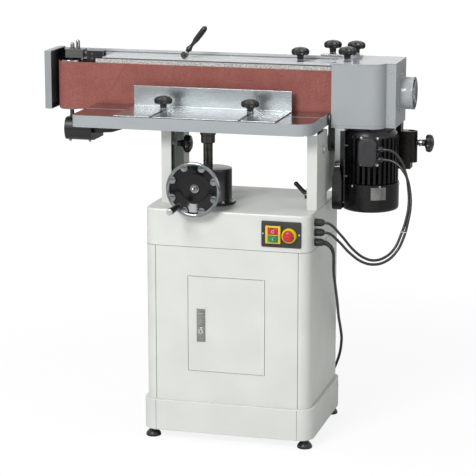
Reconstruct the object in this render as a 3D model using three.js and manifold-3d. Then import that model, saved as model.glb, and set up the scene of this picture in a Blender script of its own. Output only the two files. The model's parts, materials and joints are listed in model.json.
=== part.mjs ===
// Oscillating edge sander on a steel cabinet stand: a wide abrasive belt runs between a drive drum and an
// idler roller, a lifting table stands in front of it, and the whole sanding head tilts back on two
// uprights.
// Millimetres, +Z up. X runs along the belt, -Y is the operator's side. The model is drawn from the
// cabinet's
// front panel (y = 0), the cabinet's middle (x = 0) and the floor (z = 0), then centred over its own
// footprint.
import * as THREE from 'three';
import { mergeVertices } from 'three/addons/utils/BufferGeometryUtils.js';
import Module from 'manifold-3d';

const wasm = await Module();
wasm.setup();

// Driving dimensions

// General
const weld = 0.001;
const overcut = 2;
const seatGap = 0.3;
const runGap = 1;
const sheet = 3;
const roundSides = 24;
const smallSides = 14;
const tinySides = 10;
const half = 0.5;
const twice = 2;
const thrice = 3;
const fourfold = 4;
const quarterTurn = Math.PI / 2;
const fullTurn = Math.PI * 2;

// Cabinet
const cabinetWidth = 520;
const cabinetDepth = 412;
const cornerRadius = 35;
const plinthBottom = 29;
const plinthTop = 127;
const plinthProud = 10;
const plinthFlange = 58;
const cabinetTop = 731.5;
const headHeight = 114.5;
const headSeam = cabinetTop - headHeight;
const topEdgeRound = 6;
const seamWidth = 1.6;
const seamDepth = 1;
const seamHalfSpan = 224.5;
const footRadius = 23.5;
const footStemRadius = 6;
const footPadHeight = 11;
const footInsetX = 17;
const footInsetY = 24;

// Door
const doorLeft = -121;
const doorRight = 120;
const doorBottomRise = 100;
const doorBottom = plinthTop + doorBottomRise;
const doorTopDrop = 92;
const doorTop = headSeam - doorTopDrop;
const doorHeight = doorTop - doorBottom;
const doorGap = 1.6;
const doorFold = 14;
const doorPinRadius = 1.6;
const doorPinInset = 3.2;
const lockX = -80;
const lockHeightShare = 0.426;
const lockZ = doorBottom + doorHeight * lockHeightShare;
const lockPlateWidth = 28;
const lockPlateTopShare = 0.664;
const lockPlateTop = doorBottom + doorHeight * lockPlateTopShare;
const lockPlateBottomShare = 0.312;
const lockPlateBottom = doorBottom + doorHeight * lockPlateBottomShare;
const lockPlateProud = 2;
const lockRadius = 9;
const lockProud = 4;
const lockLength = 22;
const camLength = 60;
const camWidth = 16;
const camThickness = 3;

// Controls
const panelLeft = 110.5;
const panelRight = 233.5;
const panelBottomDrop = 99.5;
const panelBottom = cabinetTop - panelBottomDrop;
const panelTopDrop = 20;
const panelTop = cabinetTop - panelTopDrop;
const panelThickness = 4;
const switchLeft = 123;
const switchRight = 173.5;
const switchBottomDrop = 87;
const switchBottom = cabinetTop - switchBottomDrop;
const switchTopDrop = 33;
const switchTop = cabinetTop - switchTopDrop;
const switchProud = 9;
const buttonWidth = 27;
const buttonHeight = 20;
const buttonProud = 3;
const buttonTravel = 3;
const startZDrop = 73;
const startZ = cabinetTop - startZDrop;
const stopZDrop = 49.5;
const stopZ = cabinetTop - stopZDrop;
const estopX = 197.3;
const estopZDrop = 61.5;
const estopZ = cabinetTop - estopZDrop;
const estopCollarRadius = 23;
const estopCollarHeight = 11;
const estopRadius = 16.5;
const estopHeight = 24;
const estopStemRadius = 9;
const estopTravel = 4;

// Cable glands on the cabinet's right side
const glandY = 66;
const glandTopZDrop = 31;
const glandTopZ = cabinetTop - glandTopZDrop;
const glandPitch = 30.6;
const glandRadius = 12.5;
const glandBase = 8;
const glandLength = 29;
const glandDomeShare = 0.88;
const glandMouthShare = 0.6;
const cableRadius = 4.2;

// Uprights
const uprightFront = 88;
const uprightBack = 228.6;
const uprightTopRise = 228.5;
const uprightTop = cabinetTop + uprightTopRise;
const uprightWall = 4;
const uprightWidth = 31.5;
const rightUprightOuter = cabinetWidth * half;
const leftUprightInset = 29.5;
const leftUprightOuter = leftUprightInset - cabinetWidth * half;

// Tilt pivot and its brackets
const pivotY = 345;
const pivotZDrop = 10;
const pivotZ = uprightTop - pivotZDrop;
const pivotPinRadius = 9;
const pivotBossRadius = 30;
const pivotBossStart = 30;
const pivotBossEnd = 108;
const bracketThickness = 6;
const bracketBack = 372;
const bracketBottomRise = 32.5;
const bracketBottom = cabinetTop + bracketBottomRise;
const bracketShoulderDrop = 55;
const bracketShoulder = uprightTop - bracketShoulderDrop;
const tiltSlotRadius = 62;
const tiltSlotWidth = 9;
const tiltSlotStart = 263;
const tiltSlotSweep = 100;
const tiltStudAngle = 258;
const armThickness = 5;
const armClearance = 1.2;
const wingHub = 9;
const wingSpan = 20;
const wingDepth = 12;
const wingCornerShare = 0.4;
const wingHubShare = 0.3;

// Lift
const liftX = -94;
const liftY = 133;
const columnRadius = 14.7;
const columnBottomDrop = 91.5;
const columnBottom = cabinetTop - columnBottomDrop;
const collarRadius = 24.5;
const collarHeight = 52;
const jackX = -76;
const jackRadius = 56.5;
const jackTopRise = 109.5;
const jackTop = cabinetTop + jackTopRise;
const jackFlangeRadius = 69;
const jackFlangeHeight = 8;
const jackChamfer = 3;
const gearRoomRadius = 34;
const gearRoomBottomRise = 36.5;
const gearRoomBottom = cabinetTop + gearRoomBottomRise;
const gearRoomTopDrop = 23;
const gearRoomTop = jackTop - gearRoomTopDrop;
const gearRadius = 31;
const gearHeight = 12;
const gearTeeth = 18;
const gearToothDepth = 3;
const gearToothShares = [[0, 0], [0.2, 1], [0.5, 1], [0.7, 0]];
const wheelZRise = 69.5;
const wheelZ = cabinetTop + wheelZRise;
const wheelRadius = 85;
const wheelRimRadius = 8.5;
const wheelPlaneY = -32;
const wheelWeb = 5;
const wheelDish = 16;
const wheelHubRadius = 17;
const wheelHubLength = 34;
const wheelLobes = 8;
const wheelLobeRadius = 12;
const rimSides = 24;
const rimSteps = 6;
const wheelShaftRadius = 8;
const pinionRadius = 11;
const gripAngle = 229;
const gripReach = 69;
const gripRadius = 10.5;
const gripLength = 92;
const gripPinRadius = 4;
const gripRingShares = [[0.8, 0], [0.7, 0.12], [1, 0.7], [0.9, 0.93], [0.5, 1]];

// Table
const tableLeftSetback = 263.5;
const tableLeft = leftUprightOuter - tableLeftSetback;
const tableRightSetback = 2;
const tableRight = rightUprightOuter - tableRightSetback;
const tableFront = 9;
const tableBack = 254;
const tableTopRise = 46;
const tableTop = uprightTop + tableTopRise;
const tableEdge = 37;
const tablePlate = 12;
const tableWall = 9;
const tableRib = 8;
const tableCornerLarge = 50;
const tableCornerSmall = 18;
const tableCornerRear = 4;
const slotY = 148;
const slotNeck = 10;
const slotNeckDepth = 7;
const slotFoot = 18;
const slotFootDepth = 7;
const slotBoss = 36;
const guideBarThickness = 8;
const guideBarWidth = 40;
const guideY = 165;
const guideBoltZDrop = 54;
const guideBoltZ = uprightTop - guideBoltZDrop;
const guideBoltRadius = 5;
const guideLeverZRise = 30.5;
const guideLeverZ = cabinetTop + guideLeverZRise;
const tableTravel = 85;
const guideBarMargin = 18;
const clampArmShares = [[1, 0], [2, 0.6], [3.4, 1.9], [4.6, 3.1]];
const clampSectionShare = 0.62;
const clampTipShare = 0.7;

// Fence
const fenceLeft = -361;
const fenceRight = 147;
const fenceFront = 14;
const fenceFaceY = 229;
const fenceSheet = 3;
const fenceHeight = 65;
const fenceLip = 9;
const fenceSlotWidth = 10;
const fenceSlotEnd = 190;
const fenceKnobXs = [-241, 36];

// Star knobs
const knobRadius = 29;
const knobHeadHeight = 21;
const knobDome = 8;
const knobStemRadius = 11;
const knobStemHeight = 20;
const knobLobes = 7;
const knobLobeSteps = 3;
const knobLobeDepthShare = 0.16;
const knobUnderShare = 0.78;
const knobTopShare = 0.72;

// Belt, rollers and platen
const beltFront = 262;
const beltBottomRise = 24;
const beltBottom = uprightTop + beltBottomRise;
const beltWidth = 150;
const beltTop = beltBottom + beltWidth;
const beltThickness = 1.5;
const drumXSetout = 118.5;
const drumX = rightUprightOuter + drumXSetout;
const drumRadius = 57.5;
const idlerXSetback = 364.5;
const idlerX = leftUprightOuter - idlerXSetback;
const idlerRadius = 39.5;
const drumOverhang = 4;
const rollerWall = 7;
const rollerWeb = 10;
const idlerOverhang = 3.5;
const idlerShaftRadius = 6.8;
const platenLeftSetback = 269.5;
const platenLeft = leftUprightOuter - platenLeftSetback;
const platenTopRise = 12;
const platenTop = beltTop + platenTopRise;
const platenThickness = 7;

// Sanding head frame
const beamLeftSetback = 254.5;
const beamLeft = leftUprightOuter - beamLeftSetback;
const beamBack = 330;
const beamBottomRise = 6;
const beamBottom = beltBottom + beamBottomRise;
const beamTopDrop = 10;
const beamTop = beltTop - beamTopDrop;
const beamWall = 8;
const armTopBacks = { left: 342, right: 362 };
const armShoulderRise = 22;
const armShoulder = uprightTop + armShoulderRise;
const armTipDepth = 18;
const tongueReach = 40;
const tongueFront = 276;
const tongueBack = 322;
const trackBlockLeftSetback = 305.5;
const trackBlockLeft = leftUprightOuter - trackBlockLeftSetback;
const trackBlockTopRise = 34;
const trackBlockTop = beltTop + trackBlockTopRise;
const trackBlockBottomDrop = 22;
const trackBlockBottom = beltTop - trackBlockBottomDrop;
const trackBlockFront = 284;
const trackBlockBack = 322;

// Idler carriage
const carriageLeftSetback = 376;
const carriageLeft = leftUprightOuter - carriageLeftSetback;
const carriageRightSetback = 318.5;
const carriageRight = leftUprightOuter - carriageRightSetback;
const carriageBottomRise = 10;
const carriageBottom = beltTop + carriageBottomRise;
const carriageTopRise = 37;
const carriageTop = beltTop + carriageTopRise;
const carriageDepth = 40;
const carriageCap = 4;
const carriageRodRadius = 7;
const carriageRodEndSetback = 261.5;
const carriageRodEnd = leftUprightOuter - carriageRodEndSetback;
const carriageTravel = 10;
const carriageStudRadius = 6.5;
const carriageStudSetouts = [16.5, 35.5];
const carriageStudHeights = [20, 29];
const carriageStudTipShare = 0.7;
const carriageStuds = carriageStudSetouts.map((setout, i) =>
  [carriageLeft + setout, carriageTop + carriageStudHeights[i]]);
const oscillation = 3;

// Rear guard with its top tray, and the end cover
const guardBack = 401;
const guardTopRise = 29;
const guardTop = beltTop + guardTopRise;
const guardLip = 8;
const trayTopRise = 18;
const trayTop = beltTop + trayTopRise;
const trayLeftSetback = 249.5;
const trayLeft = leftUprightOuter - trayLeftSetback;
const trayRib = 3;
const trayRibXInset = 6;
const trayRibYs = [296, 350, 374];
const coverLeftSetback = 441.5;
const coverLeft = leftUprightOuter - coverLeftSetback;
const coverRightSetback = 419.5;
const coverRight = leftUprightOuter - coverRightSetback;
const coverFront = 264;
const coverBottomDrop = 4;
const coverBottom = beltBottom - coverBottomDrop;
const coverTopRise = 32;
const coverTop = beltTop + coverTopRise;

// Drum housing
const housingLeftSetout = 7.6;
const housingLeft = rightUprightOuter + housingLeftSetout;
const housingFront = 242;
const housingFlangeY = 282;
const housingFlangeXSetout = 50.5;
const housingFlangeX = drumX + housingFlangeXSetout;
const housingRightSetout = 82.5;
const housingRight = drumX + housingRightSetout;
const housingBack = 452;
const housingBottomDrop = 23;
const housingBottom = beltBottom - housingBottomDrop;
const housingTopRise = 23;
const housingTop = beltTop + housingTopRise;
const housingBase = 8;
const lidThickness = 3.5;
const outletY = 366;
const outletZRise = 76;
const outletZ = beltBottom + outletZRise;
const outletRadius = 50;
const outletEndSetout = 126.5;
const outletEnd = drumX + outletEndSetout;
const outletWall = 2.5;
const outletRingRadius = 60;
const outletRingDepth = 4;
const strapLeftSetback = 60;
const strapLeft = rightUprightOuter - strapLeftSetback;
const strapRightSetout = 70;
const strapRight = rightUprightOuter + strapRightSetout;
const strapFront = 386;
const strapBack = 414;
const strapThickness = 3.5;
const strapPadTopRise = 7;
const strapPadTop = housingTop + strapPadTopRise;

// Knobs on the head: x, y
const trayKnobSetback = 109;
const trayKnob = [rightUprightOuter - trayKnobSetback, 322];
const lidKnobSetout = 44.5;
const lidKnob = [rightUprightOuter + lidKnobSetout, 300];
const strapKnobInset = 18;
const strapKnobSetback = 23;
const strapMid = (strapFront + strapBack) * half;
const strapKnobs = [[rightUprightOuter - strapKnobSetback, strapMid],
  [strapRight - strapKnobInset, strapMid]];

// Tension lever
const leverXSetout = 13.5;
const leverX = leftUprightOuter + leverXSetout;
const leverY = 300;
const leverBaseDepth = 24;
const leverPinRadius = 5;
const leverAxisZ = trayTop + trayRib * half + leverPinRadius * 2 + seatGap;
const leverLean = 38;
const leverNeckLength = 44.8;
const leverNeckRadius = 6;
const leverGripLength = 72;
const leverGripRadius = 10.5;
const leverGripRootRadius = 6.5;
const leverGripShares = [[1, 0.75], [0.8, 0.95]];

// Oscillation gear under the idler
const oscLeftSetback = 380.5;
const oscLeft = leftUprightOuter - oscLeftSetback;
const oscRightSetback = 290.5;
const oscRight = leftUprightOuter - oscRightSetback;
const oscFront = 264;
const oscBack = 391;
const oscBottomDrop = 105;
const oscBottom = beltBottom - oscBottomDrop;
const oscTopDrop = 32;
const oscTop = beltBottom - oscTopDrop;
const oscRound = 24;
const oscBulge = 9;
const oscWall = 5;
const oscWheelRadius = 23;
const oscWheelThickness = 10;
const oscWheelXSetback = 339.5;
const oscWheelX = leftUprightOuter - oscWheelXSetback;
const oscTeeth = 20;
const oscWheelZDrop = 75;
const oscWheelZ = beltBottom - oscWheelZDrop;
const oscCrankOffset = 3;
const oscCrankRadius = 5;
const gussetRightSetback = 164.5;
const gussetRight = leftUprightOuter - gussetRightSetback;
const gussetFront = 290;
const gussetBack = 326;

// Motor
const motorPlateXSetout = 21;
const motorPlateX = rightUprightOuter + motorPlateXSetout;
const motorPlateThickness = 6;
const motorPlateFront = 240;
const motorPlateBack = 404;
const motorPlateBottomDrop = 239;
const motorPlateBottom = housingBottom - motorPlateBottomDrop;
const motorPlateFlange = 30;
const motorRadius = 86;
const motorFinDepth = 10;
const motorFins = 32;
const motorFinShares = [[0, 0], [0.36, 0], [0.46, 1], [0.9, 1]];
const motorTopDrop = 8;
const motorTop = housingBottom - motorTopDrop;
const motorBellBottomDrop = 31;
const motorBellBottom = housingBottom - motorBellBottomDrop;
const motorBellRadius = 82;
const motorBodyBottomDrop = 170;
const motorBodyBottom = housingBottom - motorBodyBottomDrop;
const motorShaftRadius = 14;
const motorFootHeight = 130;
const motorFootZDrop = 104;
const motorFootZ = housingBottom - motorFootZDrop;
const motorFootThickness = 12;
const motorFootWidth = 34;
const motorFootSpan = 55;
const fanRadius = 89;
const fanTopDrop = 173;
const fanTop = housingBottom - fanTopDrop;
const fanBottomDrop = 260;
const fanBottom = housingBottom - fanBottomDrop;
const fanRound = 9;
const fanEdgeShare = 0.3;
const fanSlots = 6;
const fanSlotLength = 40;
const fanSlotWidth = 5;
const fanSlotDepth = 2;
const boxLeftSetback = 14.5;
const boxLeft = drumX - boxLeftSetback;
const boxRightSetout = 41.5;
const boxRight = drumX + boxRightSetout;
const boxFront = 192;
const boxBack = 249;
const boxBottomDrop = 111;
const boxBottom = housingBottom - boxBottomDrop;
const boxTopDrop = 25;
const boxTop = housingBottom - boxTopDrop;
const boxChamfer = 10;
const boxLidDepth = 12;
const boxLidProud = 2;
const boxGlandDrops = [31, 62];
const boxGlandZs = boxGlandDrops.map((drop) => boxTop - drop);
const boxGlandY = 216;
const boxGlandRadius = 9.5;
const boxGlandLength = 17;

// Pull handle
const handleXSetout = 16;
const handleX = motorPlateX + handleXSetout;
const handleWidth = 30;
const handleFootWidth = 18;
const handleTopDrop = 99;
const handleTop = housingBottom - handleTopDrop;
const handleBottomDrop = 249;
const handleBottom = housingBottom - handleBottomDrop;
const handleReach = 42;
const handleBar = 17;
const handleRound = 22;
const handleSideRound = 6;

// Holder for an auxiliary table
const auxXSetout = 113.5;
const auxX = drumX + auxXSetout;
const auxY = 400;
const auxRadius = 18;
const auxBore = 12.5;
const auxBottomDrop = 123;
const auxBottom = housingBottom - auxBottomDrop;
const auxTopDrop = 24;
const auxTop = housingBottom - auxTopDrop;
const auxBlockLeftSetout = 65.5;
const auxBlockLeft = drumX + auxBlockLeftSetout;
const auxBlockBottomDrop = 143;
const auxBlockBottom = housingBottom - auxBlockBottomDrop;
const auxBlockWidth = 44;
const auxKnobZDrop = 61;
const auxKnobZ = housingBottom - auxKnobZDrop;
const auxBossLength = 6.5;
const auxStudShare = 0.8;

// Mains lead, its coil and plug
const leadRadius = 4.5;
const cordSides = 6;
const cableSteps = 34;
const leadSteps = 48;
const coilX = 60;
const coilY = 560;
const coilLoops = 3;
const coilLayers = 2;
const coilInner = 38;
const coilPitch = 11;
const coilLift = 13.5;
const coilSteps = 16;
const coilSides = 6;
const tailRadius = 40;
const tailBend = 48;
const tailSteps = 4;
const floorGap = 0.2;
const plugRadius = 17.6;
const plugLength = 36;
const plugPinLength = 19;
const plugPinRadius = 2.4;
const plugPinSpan = 19;
const plugNeckLength = 26;
const plugNeckRadius = 7;
const plugNeckShare = 1.2;
const plugShoulderShare = 0.8;

// Materials, coloured from the photograph

const paint = (colour, roughness, metalness = 0) =>
  new THREE.MeshStandardMaterial({ color: colour, roughness, metalness });
const whitePaint = paint(0xe6e8e4, 0.45);
const greyPaint = paint(0xa4aaae, 0.5);
const blackPaint = paint(0x1d1d1f, 0.45);
const blackPlastic = paint(0x161618, 0.35);
const rubber = paint(0x1b1b1c, 0.85);
const steel = paint(0xb4b6b8, 0.3, 1);
const darkSteel = paint(0x3c3d40, 0.4, 1);
const chrome = paint(0xd8dadc, 0.12, 1);
const castIron = paint(0x9ea3a6, 0.35, 1);
const belt = paint(0x9a5450, 0.9);
const graphite = paint(0x9b9b9b, 0.8);
const yellow = paint(0xe8cf2a, 0.4);
const red = paint(0xc8323c, 0.4);
const green = paint(0x1f7a48, 0.4);

// Geometry helpers

// Welds shared corners and leaves out the flat slivers that a revolve makes on its axis.
function weldedMesh(geometry) {
  const bare = new THREE.BufferGeometry();
  bare.setAttribute('position', geometry.getAttribute('position').clone());
  if (geometry.index) bare.setIndex(geometry.index.clone());
  const merged = mergeVertices(bare, weld);
  const kept = [];
  const index = merged.index.array;
  for (let i = 0; i < index.length; i += 3) {
    const [a, b, c] = [index[i], index[i + 1], index[i + 2]];
    if (a !== b && b !== c && a !== c) kept.push(a, b, c);
  }
  merged.setIndex(kept);
  return merged;
}

function solidOf(geometry) {
  const merged = weldedMesh(geometry);
  return new wasm.Manifold(new wasm.Mesh({
    numProp: 3,
    vertProperties: new Float32Array(merged.getAttribute('position').array),
    triVerts: new Uint32Array(merged.index.array),
  }));
}

function geometryOf(solid) {
  const mesh = solid.simplify(weld).getMesh();
  const geometry = new THREE.BufferGeometry();
  geometry.setAttribute('position', new THREE.BufferAttribute(new Float32Array(mesh.vertProperties), 3));
  geometry.setIndex(new THREE.BufferAttribute(new Uint32Array(mesh.triVerts), 1));
  geometry.computeVertexNormals();
  return geometry;
}

const join = (first, ...rest) => rest.reduce((whole, piece) => whole.add(piece), first);
const cut = (first, ...rest) => rest.reduce((whole, piece) => whole.subtract(piece), first);

// A block between two corners.
function block([x0, x1], [y0, y1], [z0, z1]) {
  const geometry = new THREE.BoxGeometry(x1 - x0, y1 - y0, z1 - z0);
  geometry.translate((x0 + x1) * half, (y0 + y1) * half, (z0 + z1) * half);
  return solidOf(geometry);
}

// Frames that lay a drawing in a plane: 'x' draws in (y, z) and pulls along +X, 'y' draws in (x, z) and
// pulls
// along -Y, 'z' draws in (x, y) and pulls along +Z.
const frames = {
  x: new THREE.Matrix4().makeBasis(
    new THREE.Vector3(0, 1, 0), new THREE.Vector3(0, 0, 1), new THREE.Vector3(1, 0, 0)),
  y: new THREE.Matrix4().makeBasis(
    new THREE.Vector3(1, 0, 0), new THREE.Vector3(0, 0, 1), new THREE.Vector3(0, -1, 0)),
  z: new THREE.Matrix4(),
};

// Pulls a drawn outline along an axis, from one station to another.
function pull(shape, axis, from, to, curveSegments = 4) {
  const low = Math.min(from, to);
  const high = Math.max(from, to);
  const geometry = new THREE.ExtrudeGeometry(shape, {
    depth: high - low, bevelEnabled: false, curveSegments,
  });
  geometry.applyMatrix4(frames[axis]);
  if (axis === 'x') geometry.translate(low, 0, 0);
  if (axis === 'y') geometry.translate(0, high, 0);
  if (axis === 'z') geometry.translate(0, 0, low);
  return solidOf(geometry);
}

// A round bar along an axis through a point of the plane across it.
function rod(axis, [u, v], radius, from, to, sides = smallSides) {
  const shape = new THREE.Shape();
  for (let i = 0; i < sides; i += 1) {
    const turn = (i / sides) * fullTurn;
    const place = [u + radius * Math.cos(turn), v + radius * Math.sin(turn)];
    if (i === 0) shape.moveTo(...place); else shape.lineTo(...place);
  }
  shape.closePath();
  return pull(shape, axis, from, to);
}

// Revolves a profile of (radius, height) points about +Z, then turns that axis onto the one named.
function turned(profile, axis, [x, y, z], sides = roundSides) {
  const points = profile.map(([radius, height]) => new THREE.Vector2(radius, height));
  const geometry = new THREE.LatheGeometry(points, sides);
  geometry.rotateX(quarterTurn);
  if (axis === '+x') geometry.rotateY(quarterTurn);
  if (axis === '-x') geometry.rotateY(-quarterTurn);
  if (axis === '+y') geometry.rotateX(-quarterTurn);
  if (axis === '-y') geometry.rotateX(quarterTurn);
  if (axis === '-z') geometry.rotateX(Math.PI);
  geometry.translate(x, y, z);
  return solidOf(geometry);
}

// A rectangle with its own radius at each corner, listed from the low corner counter-clockwise.
function roundedRect(x0, x1, y0, y1, radii) {
  const [r0, r1, r2, r3] = Array.isArray(radii) ? radii : [radii, radii, radii, radii];
  const shape = new THREE.Shape();
  shape.moveTo(x0 + r0, y0);
  shape.lineTo(x1 - r1, y0);
  if (r1) shape.absarc(x1 - r1, y0 + r1, r1, -quarterTurn, 0);
  shape.lineTo(x1, y1 - r2);
  if (r2) shape.absarc(x1 - r2, y1 - r2, r2, 0, quarterTurn);
  shape.lineTo(x0 + r3, y1);
  if (r3) shape.absarc(x0 + r3, y1 - r3, r3, quarterTurn, Math.PI);
  shape.lineTo(x0, y0 + r0);
  if (r0) shape.absarc(x0 + r0, y0 + r0, r0, Math.PI, Math.PI + quarterTurn);
  return shape;
}

// An open polygon through the given points.
function polygon(points) {
  const shape = new THREE.Shape();
  points.forEach(([u, v], i) => (i === 0 ? shape.moveTo(u, v) : shape.lineTo(u, v)));
  shape.closePath();
  return shape;
}

const model = new THREE.Group();
function add(name, form, material, place = [0, 0, 0], turn = [0, 0, 0], parent = model) {
  const geometry = form.isBufferGeometry ? form : geometryOf(form);
  const mesh = new THREE.Mesh(geometry, material);
  mesh.name = name;
  mesh.position.set(...place);
  mesh.rotation.set(...turn);
  parent.add(mesh);
  return mesh;
}

// Cabinet: a folded sheet-steel box on a plinth, closed by a head that carries the machine.

const sideX = cabinetWidth * half;
const outline = (grow, radius) =>
  roundedRect(-sideX - grow, sideX + grow, -grow, cabinetDepth + grow, radius + grow);

const shellBottom = plinthTop + seatGap;
const shellTop = headSeam - seatGap;
const shellSeams = [-seamHalfSpan, seamHalfSpan].map((x) =>
  block([x - seamWidth * half, x + seamWidth * half], [-overcut, seamDepth],
    [shellBottom - overcut, shellTop + overcut]));
const doorFrame = doorGap + sheet;
const doorPinAt = [doorRight - doorPinInset, doorPinInset];
const doorPins = [[doorBottom - doorFrame, doorBottom + overcut], [doorTop - overcut, doorTop + doorFrame]];
add('cabinet_shell', join(cut(
  join(
    cut(
      pull(outline(0, cornerRadius), 'z', shellBottom, shellTop),
      pull(outline(-sheet, cornerRadius), 'z', shellBottom - overcut, shellTop + overcut),
    ),
    block([doorLeft - doorFrame, doorRight + doorFrame], [0, doorFold],
      [doorBottom - doorFrame, doorTop + doorFrame]),
  ),
  block([doorLeft - doorGap, doorRight + doorGap], [-overcut, doorFold + overcut],
    [doorBottom - doorGap, doorTop + doorGap]),
  ...shellSeams,
), ...doorPins.map(([from, to]) => rod('z', doorPinAt, doorPinRadius, from, to, tinySides))), whitePaint);

const headBlank = new THREE.ExtrudeGeometry(outline(-topEdgeRound, cornerRadius), {
  depth: cabinetTop - headSeam, bevelEnabled: true, bevelThickness: topEdgeRound, bevelSize: topEdgeRound,
  bevelSegments: 2, curveSegments: 4,
});
headBlank.translate(0, 0, headSeam - topEdgeRound);
const guideBarRightX = rightUprightOuter - uprightWall - guideBarThickness - runGap;
const guideBarLeftX = leftUprightOuter + uprightWall + runGap;
const guideBarSides = [guideY - guideBarWidth * half, guideY + guideBarWidth * half];
add('cabinet_head', cut(
  solidOf(headBlank),
  block([-cabinetWidth, cabinetWidth], [-cabinetDepth, cabinetDepth + cabinetDepth], [0, headSeam]),
  pull(outline(-sheet, cornerRadius), 'z', headSeam - overcut, cabinetTop - sheet),
  rod('z', [liftX, liftY], columnRadius + overcut, headSeam, cabinetTop + overcut),
  block([guideBarRightX - runGap, guideBarRightX + guideBarThickness + runGap],
    [guideBarSides[0] - runGap, guideBarSides[1] + runGap], [headSeam, cabinetTop + overcut]),
), whitePaint);

add('plinth', cut(
  pull(outline(plinthProud, cornerRadius), 'z', plinthBottom, plinthTop),
  pull(outline(plinthProud - sheet, cornerRadius), 'z', plinthBottom + sheet, plinthTop - sheet),
  pull(outline(-plinthFlange, cornerRadius + plinthFlange), 'z', plinthBottom - overcut,
    plinthTop + overcut),
), whitePaint);

const footForm = turned([
  [0, 0], [footRadius, 0], [footRadius, footPadHeight * half],
    [footRadius * half + footStemRadius, footPadHeight],
  [footStemRadius + overcut, footPadHeight + overcut], [footStemRadius, footPadHeight + overcut],
  [footStemRadius, plinthBottom - seatGap], [0, plinthBottom - seatGap],
], '+z', [0, 0, 0], smallSides);
const footX = sideX - footInsetX;
for (const [name, x, y] of [
  ['foot_front_left', -footX, footInsetY],
  ['foot_front_right', footX, footInsetY],
  ['foot_rear_left', -footX, cabinetDepth - footInsetY],
  ['foot_rear_right', footX, cabinetDepth - footInsetY],
]) add(name, footForm, rubber, [x, y, 0]);

// Door: a tray folded back at its edges, with a flush lock plate and a turning cam behind it.

const lockHalf = lockPlateWidth * half;
add('door', cut(
  join(
    block([doorLeft, doorRight], [0, doorFold], [doorBottom, doorTop]),
    pull(roundedRect(lockX - lockHalf, lockX + lockHalf, lockPlateBottom, lockPlateTop, lockHalf * half),
      'y', sheet, -lockPlateProud),
  ),
  block([doorLeft + sheet, doorRight - sheet], [sheet, doorFold + overcut],
    [doorBottom + sheet, doorTop - sheet]),
  rod('y', [lockX, lockZ], lockRadius + seatGap, -lockPlateProud - overcut, doorFold),
  rod('z', doorPinAt, doorPinRadius + seatGap, doorBottom - overcut, doorBottom + sheet + seatGap,
    tinySides),
  rod('z', doorPinAt, doorPinRadius + seatGap, doorTop - sheet - seatGap, doorTop + overcut, tinySides),
), whitePaint);
const camY = sheet + seatGap;
add('door_lock', join(
  cut(
    rod('y', [0, 0], lockRadius, -lockPlateProud - lockProud, lockLength),
    block([-camThickness * half, camThickness * half],
      [-lockPlateProud - lockProud - overcut, -lockPlateProud],
      [-lockRadius * half, lockRadius * half]),
  ),
  pull(roundedRect(-camWidth * half, camWidth * half, -camWidth * half, camLength - camWidth * half,
    camWidth * half - seatGap),
    'y', camY + camThickness + doorFold, camY + doorFold),
), steel, [lockX, 0, lockZ]);

// Controls: a black plate with a yellow twin-button switch and a yellow emergency-stop collar.

const panelFace = -panelThickness;
const switchFace = panelFace - switchProud;
const buttonWell = (z) => pull(roundedRect(
  (switchLeft + switchRight - buttonWidth) * half - runGap,
    (switchLeft + switchRight + buttonWidth) * half + runGap,
  z - buttonHeight * half - runGap, z + buttonHeight * half + runGap, runGap + seatGap),
'y', switchFace - overcut, panelFace + seatGap);
add('control_plate', cut(
  join(
    pull(roundedRect(panelLeft, panelRight, panelBottom, panelTop, panelThickness), 'y', -seatGap,
      panelFace),
    pull(roundedRect(switchLeft, switchRight, switchBottom, switchTop, panelThickness), 'y', panelFace,
      switchFace),
    turned([[0, 0], [estopCollarRadius, 0], [estopCollarRadius - overcut, estopCollarHeight],
      [0, estopCollarHeight]], '-y', [estopX, panelFace, estopZ]),
  ),
  buttonWell(startZ),
  buttonWell(stopZ),
  rod('y', [estopX, estopZ], estopStemRadius + seatGap, panelFace - estopCollarHeight - overcut, panelFace),
), blackPaint);
const buttonX = (switchLeft + switchRight) * half;
const buttonForm = pull(roundedRect(-buttonWidth * half, buttonWidth * half, -buttonHeight * half,
  buttonHeight * half, overcut), 'y', switchFace + switchProud - buttonTravel - seatGap,
    switchFace - buttonProud);
add('button_start', buttonForm, green, [buttonX, 0, startZ]);
add('button_stop', buttonForm, red, [buttonX, 0, stopZ]);
const estopSeat = panelFace - estopCollarHeight;
add('estop_button', turned([
  [0, estopTravel + seatGap - estopCollarHeight],
    [estopStemRadius, estopTravel + seatGap - estopCollarHeight],
  [estopStemRadius, estopTravel + seatGap], [estopRadius, estopTravel + seatGap],
  [estopRadius, estopHeight - estopStemRadius],
    [estopRadius - overcut, estopHeight - estopStemRadius + overcut * twice],
  [estopStemRadius, estopHeight - seatGap], [0, estopHeight],
], '-y', [estopX, estopSeat, estopZ], smallSides), red);

// Cable glands: a hexagon, a domed nut and a clear bore for the cable.

const glandForm = (radius, base, length, bore) => {
  const hexagon = solidOf(new THREE.CylinderGeometry(radius, radius, base, 6).rotateZ(quarterTurn)
    .translate(base * half, 0, 0));
  const dome = turned([
    [0, 0], [radius * glandDomeShare, 0], [radius * glandDomeShare, length - radius * half],
      [radius * glandMouthShare, length], [0, length],
  ], '+x', [0, 0, 0], smallSides);
  return cut(join(hexagon, dome), rod('x', [0, 0], bore, base, length + overcut, tinySides));
};
const cabinetGland = glandForm(glandRadius, glandBase, glandLength, cableRadius + runGap);
['gland_motor_upper', 'gland_motor_lower', 'gland_mains'].forEach((name, row) =>
  add(name, cabinetGland, blackPlastic, [sideX + seatGap, glandY, glandTopZ - glandPitch * row]));

// Uprights: folded channels that open inwards, each with a bracket for the head's tilt pivot.

const polar = (radius, degrees) => {
  const turn = THREE.MathUtils.degToRad(degrees);
  return [pivotY + radius * Math.cos(turn), pivotZ + radius * Math.sin(turn)];
};

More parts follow.
